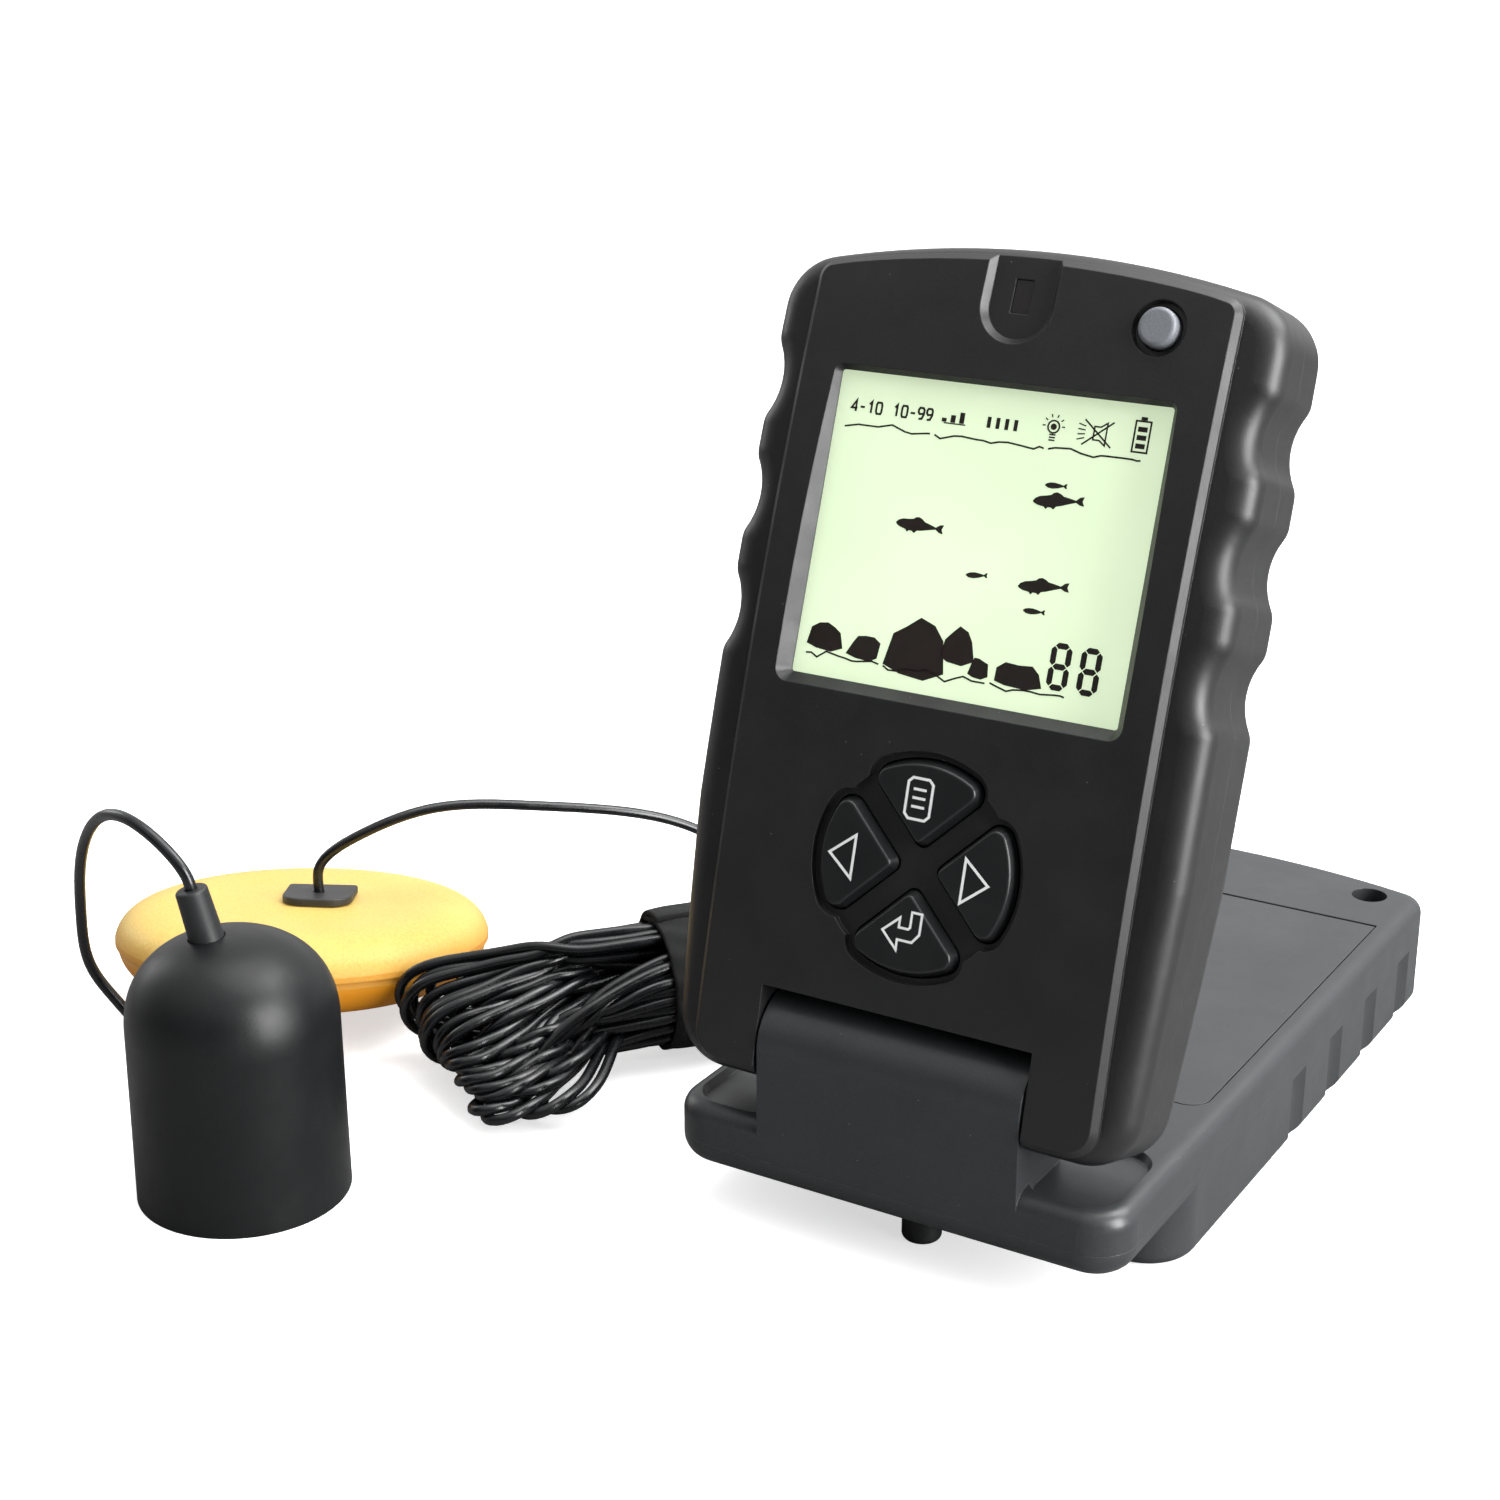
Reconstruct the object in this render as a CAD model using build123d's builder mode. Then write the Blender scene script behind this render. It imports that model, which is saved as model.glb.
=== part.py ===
"""Folding fish finder: hinged display head on a battery base, with a wired sonar transducer,
a float, and a coiled cable.

Frame: +X to the user's right, +Y to the rear of the base, +Z up, millimetres.
The origin is on the flat underside of the base, which stands on the plane Z = 0.
Distances called "from the front" start at the front face of the base.  The head has its own
frame on the hinge axis: U along the hinge, V up the head, W out of its face.
"""

from build123d import *
from math import asin, cos, radians, sin, sqrt
import os

# ---------------------------------------------------------------- driving dimensions (mm)
# Base
BASE_FRONT = -87.0
BASE_LENGTH = 153.0
BASE_HALF_W = 40.0
BASE_TOP = 20.9
BASE_SPLIT = 14.1
THIN_UNDERSIDE = 9.4
THICK_START = 23.0
REAR_ARC_RISE = 4.0
WALL = 2.4
CAVITY_TOP = 17.6
FLOOR_THICK = 2.0

# Hinge
HINGE_FROM_FRONT = 8.0
HINGE_Z = 33.4
BARREL_R = 8.0
BLOCK_HALF_W = 23.0
PIN_R = 2.5
PIN_HALF_LENGTH = 36.0
NOTCH_HALF_W = 23.5
NOTCH_TOP_V = 8.25

# Head
HEAD_LEAN = 18.8
HEAD_HALF_W = 42.2
HEAD_BOTTOM_V = -7.4
HEAD_TOP_V = 127.6
HEAD_CORNER_V = 122.2
HEAD_SPLIT_W = -2.1
HEAD_BACK_W = -12.3
FACE_CREST_V = 65.3
FACE_CREST_W = 11.0
FACE_RADIUS = 655.0
SHOULDER_DROP = 1.6
PLATE_HALF_W = 35.3
PLATE_BEVEL = 1.0
PLATE_BOTTOM_V = -6.2
SIDE_ROLL = 4.2
BACK_ROLL = 4.0
GRIP_PITCH = 18.6
GRIP_CHORD = 12.0
GRIP_DEPTH = 1.9
GRIP_FIRST_V = 66.0
GRIP_COUNT = 3
CAVITY_HALF_W = 37.4
CAVITY_BOTTOM_V = 12.6
CAVITY_TOP_V = 122.8
CAVITY_CEILING_W = 6.0
CAVITY_FLOOR_W = -10.3

# Window and display
WINDOW_V = 81.8
WINDOW_W, WINDOW_H = 55.6, 47.9
WINDOW_BEVEL_START_W = 8.6
WINDOW_BEVEL_ANGLE = 36.0
LENS_W, LENS_H = 58.0, 50.3
LENS_BOTTOM_W, LENS_THICK = 7.2, 1.2
LCD_W, LCD_H = 57.6, 49.8
LCD_BOTTOM_W, LCD_TOP_W = 4.4, 7.0
BOARD_BOTTOM_W, BOARD_TOP_W = 0.6, 2.2

# Keys
PAD_V = 31.6
KEY_R = 16.7
KEY_SPLIT = 2.0
KEY_RISE = 0.6
PAD_DEPTH = 1.4
KEY_TAPER = 20.0
KEY_STEM = 4.1
KEY_FLANGE = 1.0
KEY_GAP = 0.25
MOAT = 1.25

# Reset button and lamp window
RESET_U, RESET_V = 23.3, 117.0
RESET_R = 3.0
LAMP_V = 119.9
LAMP_W, LAMP_H = 3.0, 5.2
TONGUE_DEPTH = 1.2
TONGUE_HALF_W = 5.2
TONGUE_BOTTOM_V = 113.2

# Battery door
DOOR_HALF_W = 36.2
DOOR_FRONT = 41.3
DOOR_AXIS = 127.0
DOOR_THICK = 1.8
DOOR_PEG_R = 0.6

# Cells, sockets and screws
CELL_R, CELL_LENGTH = 5.2, 44.0
CELL_PITCH = 10.9
CELL_FRONT = 60.0
CELL_Z = 7.6
REAR_SCREW_X, REAR_SCREW_FROM_FRONT = 30.3, 141.6
FRONT_SCREW_X, FRONT_SCREW_FROM_FRONT = 30.0, 17.0
JACK_X, JACK_Z = -20.0, 7.5
JACK_FACE = 151.4
PLUG_R = 1.75
PLUG_GRIP, PLUG_BOOT = 15.0, 8.0
FOOT_FROM_FRONT = 14.0
GROOVES = (78.0, 97.0, 116.0, 135.0)
HEAD_SCREW_U = 32.8
HEAD_SCREW_V = (17.0, 116.6)

# Cable, float and transducer
CABLE_R = 1.0
STRAP_WIDTH = 15.0
FLOAT_CENTRE = (-147.1, -53.1, 12.0)
FLOAT_NORMAL = (-0.062, 0.148, 1.0)
FLOAT_R = 35.9
FLOAT_CROWN = 7.6
FLOAT_KEEL = 9.2
HOLE_X = 3.0
STEM_R = 3.1
SONAR_X, SONAR_Y = -105.5, -117.6
SONAR_R = 17.9
SONAR_SHOULDER_Z = 31.0
SONAR_TOP_Z = 46.0
BOOT_FOOT = (-107.6, -118.8, 41.5)
BOOT_LEAN = (-0.19, -0.115, 0.975)
BOOT_LENGTH = 13.0


def from_front(distance):
    """Y of a point at a distance behind the front face of the base."""
    return BASE_FRONT + distance


def face_w(v):
    """Height W of the gently arched face plate at V."""
    return FACE_CREST_W - (v - FACE_CREST_V) ** 2 / (2 * FACE_RADIUS)


# ---------------------------------------------------------------- head planes
HINGE_POINT = Vector(0, from_front(HINGE_FROM_FRONT), HINGE_Z)
lean = radians(HEAD_LEAN)
HEAD = Plane(origin=HINGE_POINT, x_dir=(1, 0, 0), z_dir=(0, -cos(lean), sin(lean)))
HEAD_SIDE = Plane(origin=HINGE_POINT, x_dir=HEAD.y_dir, z_dir=HEAD.x_dir)
W_AXIS = Axis(HINGE_POINT, HEAD.z_dir)


def face_plane(u, v):
    """Plane that touches the face plate at (u, v), with Z along the local normal."""
    slope = -(v - FACE_CREST_V) / FACE_RADIUS
    origin = HEAD.from_local_coords(Vector(u, v, face_w(v)))
    return Plane(origin=origin, x_dir=(1, 0, 0), z_dir=HEAD.z_dir - HEAD.y_dir * slope)


PAD = face_plane(0, PAD_V)
RESET = face_plane(RESET_U, RESET_V)
LAMP = face_plane(0, LAMP_V)


# ---------------------------------------------------------------- shared outlines
def base_outline():
    """Plan of the base: straight sides, rounded front corners, bowed rear edge."""
    rear = from_front(BASE_LENGTH)
    with BuildSketch() as outline:
        with BuildLine():
            Line((0, BASE_FRONT), (BASE_HALF_W, BASE_FRONT))
            Line((BASE_HALF_W, BASE_FRONT), (BASE_HALF_W, rear - REAR_ARC_RISE * 1.45))
            ThreePointArc(
                (BASE_HALF_W, rear - REAR_ARC_RISE * 1.45),
                (BASE_HALF_W / 2, rear - REAR_ARC_RISE * 1.45 / 4),
                (0, rear),
            )
            mirror(about=Plane.YZ)
        make_face()
        corners = outline.vertices().filter_by(lambda p: abs(p.X) > BASE_HALF_W - 1)
        fillet(corners.group_by(Axis.Y)[0], radius=7)
        corners = outline.vertices().filter_by(lambda p: abs(p.X) > BASE_HALF_W - 1)
        fillet(corners.group_by(Axis.Y)[-1], radius=5)
    return outline.sketch


def head_outline():
    """Plan of the head in U and V, with three finger grips scooped into each side."""
    grip_r = ((GRIP_CHORD / 2) ** 2 + GRIP_DEPTH**2) / (2 * GRIP_DEPTH)
    grip_u = HEAD_HALF_W - GRIP_DEPTH + grip_r
    grip_v = [GRIP_FIRST_V + GRIP_PITCH * i for i in range(GRIP_COUNT)]
    quarter_drop = (HEAD_TOP_V - HEAD_CORNER_V) / 4
    with BuildSketch() as outline:
        with BuildLine():
            Polyline(
                (0, HEAD_BOTTOM_V),
                (39.8, HEAD_BOTTOM_V),
                (41.2, 16.3),
                (HEAD_HALF_W, 36.0),
                (HEAD_HALF_W, HEAD_CORNER_V),
            )
            ThreePointArc(
                (HEAD_HALF_W, HEAD_CORNER_V),
                (HEAD_HALF_W / 2, HEAD_TOP_V - quarter_drop),
                (0, HEAD_TOP_V),
            )
            mirror(about=Plane.YZ)
        make_face()
        with Locations(*[(side * grip_u, v) for side in (-1, 1) for v in grip_v]):
            Circle(grip_r, mode=Mode.SUBTRACT)
        low, high = GRIP_FIRST_V - GRIP_PITCH, grip_v[-1] + GRIP_PITCH / 2
        crests = outline.vertices().filter_by(
            lambda p: abs(p.X) > HEAD_HALF_W - 0.1 and low < p.Y < high
        )
        fillet(crests, radius=4.4)
        ends = outline.vertices().filter_by(lambda p: abs(p.X) > 39)
        fillet(ends.group_by(Axis.Y)[0], radius=9)
        ends = outline.vertices().filter_by(lambda p: abs(p.X) > HEAD_HALF_W - 0.1)
        fillet(ends.group_by(Axis.Y)[-1], radius=9)
    return outline.sketch


def plate_outline():
    """Plan of the raised face plate: straight sides and the same bow at the top."""
    top, side_top = HEAD_TOP_V - 1.7, HEAD_TOP_V - 5.4
    middle = side_top + 0.75 * (top - side_top)
    with BuildSketch() as outline:
        with BuildLine():
            Polyline((0, PLATE_BOTTOM_V), (PLATE_HALF_W, PLATE_BOTTOM_V), (PLATE_HALF_W, side_top))
            ThreePointArc((PLATE_HALF_W, side_top), (PLATE_HALF_W / 2, middle), (0, top))
            mirror(about=Plane.YZ)
        make_face()
        corners = outline.vertices().filter_by(lambda p: abs(p.X) > PLATE_HALF_W - 1)
        fillet(corners.group_by(Axis.Y)[0], radius=5)
        corners = outline.vertices().filter_by(lambda p: abs(p.X) > PLATE_HALF_W - 0.1)
        fillet(corners.group_by(Axis.Y)[-1], radius=3)
    return outline.sketch


def head_cavity():
    """Plan of the hollow inside the head."""
    middle_v = (CAVITY_BOTTOM_V + CAVITY_TOP_V) / 2
    with BuildSketch() as plan:
        with Locations((0, middle_v)):
            RectangleRounded(2 * CAVITY_HALF_W, CAVITY_TOP_V - CAVITY_BOTTOM_V, 6)
    return plan.sketch


def under_face(drop, floor_w):
    """Side view of everything between W = floor_w and the arched face lowered by drop."""
    low_v, high_v = -20.0, 2 * FACE_CREST_V + 20.0
    with BuildSketch() as region:
        with BuildLine():
            ThreePointArc(
                (low_v, face_w(low_v) - drop),
                (FACE_CREST_V, FACE_CREST_W - drop),
                (high_v, face_w(high_v) - drop),
            )
            Polyline(
                (high_v, face_w(high_v) - drop),
                (high_v, floor_w),
                (low_v, floor_w),
                (low_v, face_w(low_v) - drop),
            )
        make_face()
    return region.sketch


def key_outline(grow=0.0):
    """Foot of one key: a quarter of the round pad, with rounded corners, pointing up."""
    radius, gap = KEY_R + grow, KEY_SPLIT - grow
    apex = gap * sqrt(2)
    half_angle = radians(45) - asin(gap / radius)
    corner = (radius * sin(half_angle), radius * cos(half_angle))
    with BuildSketch() as key:
        with BuildLine():
            Line((0, apex), corner)
            ThreePointArc(corner, (0, radius), (-corner[0], corner[1]))
            Line((-corner[0], corner[1]), (0, apex))
        make_face()
        fillet(key.vertices().sort_by(Axis.Y)[1:], radius=2.4 + grow)
        fillet(key.vertices().sort_by(Axis.Y)[0], radius=1.6)
    return key.sketch


KEYS = {"menu": 0, "left": 90, "enter": 180, "right": 270}

# ---------------------------------------------------------------- head shells
with BuildPart() as face_plate:
    with BuildSketch(HEAD):
        add(plate_outline())
    extrude(amount=FACE_CREST_W + 2)
    with BuildSketch(HEAD_SIDE):
        add(under_face(0, -1))
    extrude(amount=HEAD_HALF_W + 5, both=True, mode=Mode.INTERSECT)
    chamfer(face_plate.faces().sort_by(W_AXIS)[-1].edges(), length=PLATE_BEVEL)

with BuildPart() as head_front_cover:
    with BuildSketch(HEAD.offset(HEAD_SPLIT_W)):
        add(head_outline())
    extrude(amount=FACE_CREST_W + 3)
    with BuildSketch(HEAD_SIDE):
        add(under_face(SHOULDER_DROP, HEAD_SPLIT_W))
    extrude(amount=HEAD_HALF_W + 5, both=True, mode=Mode.INTERSECT)
    fillet(head_front_cover.faces().sort_by(W_AXIS)[-1].edges(), radius=SIDE_ROLL)
    add(face_plate.part)
    # hollow, then the bosses for the four case screws
    with BuildSketch(HEAD.offset(HEAD_SPLIT_W)):
        add(head_cavity())
    extrude(amount=CAVITY_CEILING_W - HEAD_SPLIT_W, mode=Mode.SUBTRACT)
    with BuildSketch(HEAD.offset(HEAD_SPLIT_W + 0.05)):
        with Locations(*[(u, v) for u in (-HEAD_SCREW_U, HEAD_SCREW_U) for v in HEAD_SCREW_V]):
            Circle(3.2)
    extrude(amount=CAVITY_CEILING_W - HEAD_SPLIT_W)
    with BuildSketch(HEAD.offset(HEAD_SPLIT_W)):
        with Locations(*[(u, v) for u in (-HEAD_SCREW_U, HEAD_SCREW_U) for v in HEAD_SCREW_V]):
            Circle(1.45)
    extrude(amount=6.4, mode=Mode.SUBTRACT)
    # notch for the hinge block and the bore for its pin
    with BuildSketch(HEAD.offset(HEAD_BACK_W)):
        with Locations((0, NOTCH_TOP_V - 10)):
            Rectangle(2 * NOTCH_HALF_W, 20)
    extrude(amount=30, mode=Mode.SUBTRACT)
    with BuildSketch(HEAD_SIDE.offset(-PIN_HALF_LENGTH - 0.3)):
        Circle(PIN_R + 0.04)
    extrude(amount=2 * PIN_HALF_LENGTH + 0.6, mode=Mode.SUBTRACT)
    # window: a rebate behind for lens and display, an opening, and a bevel in front
    with BuildSketch(HEAD.offset(HEAD_SPLIT_W)):
        with Locations((0, WINDOW_V)):
            Rectangle(LENS_W + 0.3, LENS_H + 0.3)
    extrude(amount=LENS_BOTTOM_W + LENS_THICK + 0.05 - HEAD_SPLIT_W, mode=Mode.SUBTRACT)
    with BuildSketch(HEAD):
        with Locations((0, WINDOW_V)):
            RectangleRounded(WINDOW_W, WINDOW_H, 0.5)
    extrude(amount=WINDOW_BEVEL_START_W + 0.1, mode=Mode.SUBTRACT)
    with BuildSketch(HEAD.offset(WINDOW_BEVEL_START_W)):
        with Locations((0, WINDOW_V)):
            RectangleRounded(WINDOW_W, WINDOW_H, 0.5)
    extrude(amount=3.2, taper=-WINDOW_BEVEL_ANGLE, mode=Mode.SUBTRACT)
    # clover-shaped key recess, the four key holes, and a flat under them for the flanges
    with BuildSketch(PAD.offset(-PAD_DEPTH)):
        Circle(KEY_R - 0.6)
        for turn in KEYS.values():
            add(key_outline(MOAT).rotate(Axis.Z, turn))
    extrude(amount=PAD_DEPTH + 2, mode=Mode.SUBTRACT)
    with BuildSketch(PAD.offset(-KEY_STEM + 0.1)):
        Circle(KEY_R + 2.4)
    extrude(amount=-6, mode=Mode.SUBTRACT)
    with BuildSketch(PAD.offset(-8)):
        for turn in KEYS.values():
            add(key_outline(KEY_GAP).rotate(Axis.Z, turn))
    extrude(amount=8, mode=Mode.SUBTRACT)
    # reset button: a shallow dish, a hole, and a flat under it
    with BuildSketch(RESET.offset(-1.1)):
        Circle(RESET_R + 1.0)
    extrude(amount=2, taper=-15, mode=Mode.SUBTRACT)
    with BuildSketch(RESET.offset(1)):
        Circle(RESET_R + 0.25)
    extrude(amount=-8, mode=Mode.SUBTRACT)
    with BuildSketch(RESET.offset(-2.9)):
        Circle(RESET_R + 2.2)
    extrude(amount=-5, mode=Mode.SUBTRACT)
    # tongue-shaped scoop at the top edge with the lamp window in its floor
    with BuildSketch(LAMP.offset(-TONGUE_DEPTH)):
        with Locations((0, TONGUE_BOTTOM_V - LAMP_V + TONGUE_HALF_W)):
            Circle(TONGUE_HALF_W)
        with Locations((0, TONGUE_BOTTOM_V - LAMP_V + TONGUE_HALF_W + 8)):
            Rectangle(2 * TONGUE_HALF_W, 16)
    extrude(amount=3.5, taper=-38, mode=Mode.SUBTRACT)
    with BuildSketch(LAMP):
        Rectangle(LAMP_W + 0.1, LAMP_H + 0.1)
    extrude(amount=-7, mode=Mode.SUBTRACT)
    with BuildSketch(LAMP.offset(-2.6)):
        Rectangle(LAMP_W + 3.4, LAMP_H + 3.4)
    extrude(amount=-5, mode=Mode.SUBTRACT)
head_front_cover.part.label = "head_front_cover"

with BuildPart() as head_rear_cover:
    with BuildSketch(HEAD.offset(HEAD_BACK_W)):
        add(head_outline())
    extrude(amount=HEAD_SPLIT_W - HEAD_BACK_W)
    fillet(head_rear_cover.faces().sort_by(W_AXIS)[0].edges(), radius=BACK_ROLL)
    with BuildSketch(HEAD.offset(CAVITY_FLOOR_W)):
        add(head_cavity())
    extrude(amount=HEAD_SPLIT_W - CAVITY_FLOOR_W, mode=Mode.SUBTRACT)
    with BuildSketch(HEAD.offset(CAVITY_FLOOR_W - 0.5)):
        with Locations(*[(u, v) for u in (-HEAD_SCREW_U, HEAD_SCREW_U) for v in HEAD_SCREW_V]):
            Circle(4.2)
    extrude(amount=HEAD_SPLIT_W - CAVITY_FLOOR_W + 0.45)
    with Locations(
        *[HEAD.offset(HEAD_BACK_W) * Pos(u, v, 0) * Rot(180, 0, 0)
          for u in (-HEAD_SCREW_U, HEAD_SCREW_U) for v in HEAD_SCREW_V]
    ):
        CounterBoreHole(radius=1.6, counter_bore_radius=2.9, counter_bore_depth=4, depth=14)
    with BuildSketch(HEAD.offset(HEAD_BACK_W - 1)):
        with Locations((0, NOTCH_TOP_V - 10)):
            Rectangle(2 * NOTCH_HALF_W, 20)
    extrude(amount=30, mode=Mode.SUBTRACT)
    with BuildSketch(HEAD_SIDE.offset(-PIN_HALF_LENGTH - 0.3)):
        Circle(PIN_R + 0.04)
    extrude(amount=2 * PIN_HALF_LENGTH + 0.6, mode=Mode.SUBTRACT)
    # sound holes over the buzzer
    with BuildSketch(HEAD.offset(HEAD_BACK_W)):
        with Locations((-14, 99)):
            Circle(0.8)
            with PolarLocations(3.4, 6):
                Circle(0.8)
    extrude(amount=3, mode=Mode.SUBTRACT)
head_rear_cover.part.label = "head_rear_cover"

# ---------------------------------------------------------------- display and electronics
with BuildPart() as window_lens:
    with BuildSketch(HEAD.offset(LENS_BOTTOM_W)):
        with Locations((0, WINDOW_V)):
            RectangleRounded(LENS_W, LENS_H, 0.8)
    extrude(amount=LENS_THICK)
window_lens.part.label = "window_lens"

with BuildPart() as lcd_glass:
    with BuildSketch(HEAD.offset(LCD_BOTTOM_W)):
        with Locations((0, WINDOW_V)):
            Rectangle(LCD_W, LCD_H)
    extrude(amount=LCD_TOP_W - LCD_BOTTOM_W)
lcd_glass.part.label = "lcd_glass"

with BuildPart() as lcd_frame:
    with BuildSketch(HEAD.offset(BOARD_TOP_W + 0.1)):
        with Locations((0, WINDOW_V)):
            Rectangle(LCD_W + 5, LCD_H + 5)
            Rectangle(LCD_W + 0.3, LCD_H + 0.3, mode=Mode.SUBTRACT)
    extrude(amount=CAVITY_CEILING_W - BOARD_TOP_W - 0.2)
lcd_frame.part.label = "lcd_frame"

with BuildPart() as backlight_panel:
    with BuildSketch(HEAD.offset(BOARD_TOP_W + 0.2)):
        with Locations((0, WINDOW_V)):
            Rectangle(LCD_W - 0.6, LCD_H - 0.6)
    extrude(amount=LCD_BOTTOM_W - BOARD_TOP_W - 0.3)
backlight_panel.part.label = "backlight_panel"

with BuildPart() as main_board:
    with BuildSketch(HEAD.offset(BOARD_BOTTOM_W)):
        with Locations((0, (14.0 + 121.0) / 2)):
            RectangleRounded(56, 121.0 - 14.0, 2)
    extrude(amount=BOARD_TOP_W - BOARD_BOTTOM_W)
    with BuildSketch(HEAD.offset(BOARD_BOTTOM_W)):
        with Locations((8, 70), (-10, 48)):
            Rectangle(12, 12)
    extrude(amount=-1.4)
main_board.part.label = "main_board"

switch_spots = [PAD.from_local_coords(Vector(10.4 * sin(radians(a)), 10.4 * cos(radians(a)), 0))
                for a in KEYS.values()]
switch_spots += [RESET.origin]
switch_uv = [HEAD.to_local_coords(spot) for spot in switch_spots]
with BuildPart() as tact_switches:
    with BuildSketch(HEAD.offset(BOARD_TOP_W + 0.02)):
        with Locations(*[(spot.X, spot.Y) for spot in switch_uv]):
            Rectangle(5, 5)
    extrude(amount=0.9)
    with BuildSketch(HEAD.offset(BOARD_TOP_W + 0.9)):
        with Locations(*[(spot.X, spot.Y) for spot in switch_uv]):
            Circle(1.4)
    extrude(amount=0.4)
tact_switches.part.label = "tact_switches"

with BuildPart() as buzzer:
    with BuildSketch(HEAD.offset(BOARD_BOTTOM_W - 0.02)):
        with Locations((-14, 99)):
            Circle(7)
    extrude(amount=-6)
    fillet(buzzer.edges().filter_by(GeomType.CIRCLE).sort_by(W_AXIS)[0], radius=0.5)
buzzer.part.label = "buzzer"

with BuildPart() as alarm_lamp:
    with BuildSketch(HEAD.offset(BOARD_TOP_W + 0.02)):
        with Locations((0, LAMP_V)):
            Circle(1.5)
    extrude(amount=2.2)
alarm_lamp.part.label = "alarm_lamp"

with BuildPart() as lamp_window:
    with BuildSketch(LAMP.offset(-TONGUE_DEPTH - 0.25)):
        Rectangle(LAMP_W, LAMP_H)
    extrude(amount=-1.8)
    with BuildSketch(LAMP.offset(-2.7)):
        Rectangle(LAMP_W + 2, LAMP_H + 2)
    extrude(amount=-0.9)
lamp_window.part.label = "lamp_window"

# ---------------------------------------------------------------- keys and reset button
key_parts = {}
for key_name, turn in KEYS.items():
    with BuildPart() as key:
        with BuildSketch(PAD.offset(-KEY_STEM)):
            add(key_outline().rotate(Axis.Z, turn))
        extrude(amount=KEY_STEM - PAD_DEPTH)
        with BuildSketch(PAD.offset(-PAD_DEPTH)):
            add(key_outline().rotate(Axis.Z, turn))
        extrude(amount=PAD_DEPTH + KEY_RISE, taper=KEY_TAPER)
        fillet(key.faces().sort_by(Axis(PAD.origin, PAD.z_dir))[-1].edges(), radius=0.5)
        with BuildSketch(PAD.offset(-KEY_STEM)):
            add(key_outline(KEY_FLANGE).rotate(Axis.Z, turn))
        extrude(amount=-1)
    key.part.label = f"key_{key_name}"
    key_parts[key_name] = key.part

with BuildPart() as reset_button:
    with BuildSketch(RESET.offset(-3.0)):
        Circle(RESET_R)
    extrude(amount=4.3)
    fillet(reset_button.edges().sort_by(Axis(RESET.origin, RESET.z_dir))[-1], radius=0.7)
    with BuildSketch(RESET.offset(-3.0)):
        Circle(RESET_R + 1.3)
    extrude(amount=-1)
    with BuildSketch(RESET.offset(-4.0)):
        Circle(1.4)
    extrude(amount=-0.6)
reset_button.part.label = "reset_button"

# ---------------------------------------------------------------- head fasteners and hinge
with BuildPart() as head_screws:
    with BuildSketch(HEAD.offset(HEAD_BACK_W + 3)):
        with Locations(*[(u, v) for u in (-HEAD_SCREW_U, HEAD_SCREW_U) for v in HEAD_SCREW_V]):
            Circle(1.4)
    extrude(amount=12.6)
    with BuildSketch(HEAD.offset(HEAD_BACK_W + 3.98)):
        with Locations(*[(u, v) for u in (-HEAD_SCREW_U, HEAD_SCREW_U) for v in HEAD_SCREW_V]):
            Circle(2.6)
    extrude(amount=-1.7)
    with BuildSketch(HEAD.offset(HEAD_BACK_W)):
        with Locations(*[(u, v) for u in (-HEAD_SCREW_U, HEAD_SCREW_U) for v in HEAD_SCREW_V]):
            Rectangle(3, 0.6)
            Rectangle(0.6, 3)
    extrude(amount=3.2, mode=Mode.SUBTRACT)
head_screws.part.label = "head_screws"

with BuildPart() as hinge_pin:
    with BuildSketch(HEAD_SIDE.offset(-PIN_HALF_LENGTH)):
        Circle(PIN_R)
        Circle(1.3, mode=Mode.SUBTRACT)
    extrude(amount=2 * PIN_HALF_LENGTH)
hinge_pin.part.label = "hinge_pin"

with BuildPart() as hinge_washers:
    for plane in (HEAD_SIDE.offset(BLOCK_HALF_W + 0.1), HEAD_SIDE.offset(-NOTCH_HALF_W + 0.1)):
        with BuildSketch(plane):
            Circle(5.5)
            Circle(PIN_R + 0.1, mode=Mode.SUBTRACT)
        extrude(amount=0.3)
hinge_washers.part.label = "hinge_washers"

# ---------------------------------------------------------------- base shells
door_cut_front = from_front(DOOR_FRONT - 0.3)
door_cut_rear = from_front(DOOR_AXIS + 0.95)
door_cut_middle = (door_cut_front + door_cut_rear) / 2
door_axis_z = BASE_TOP - DOOR_THICK / 2

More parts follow.
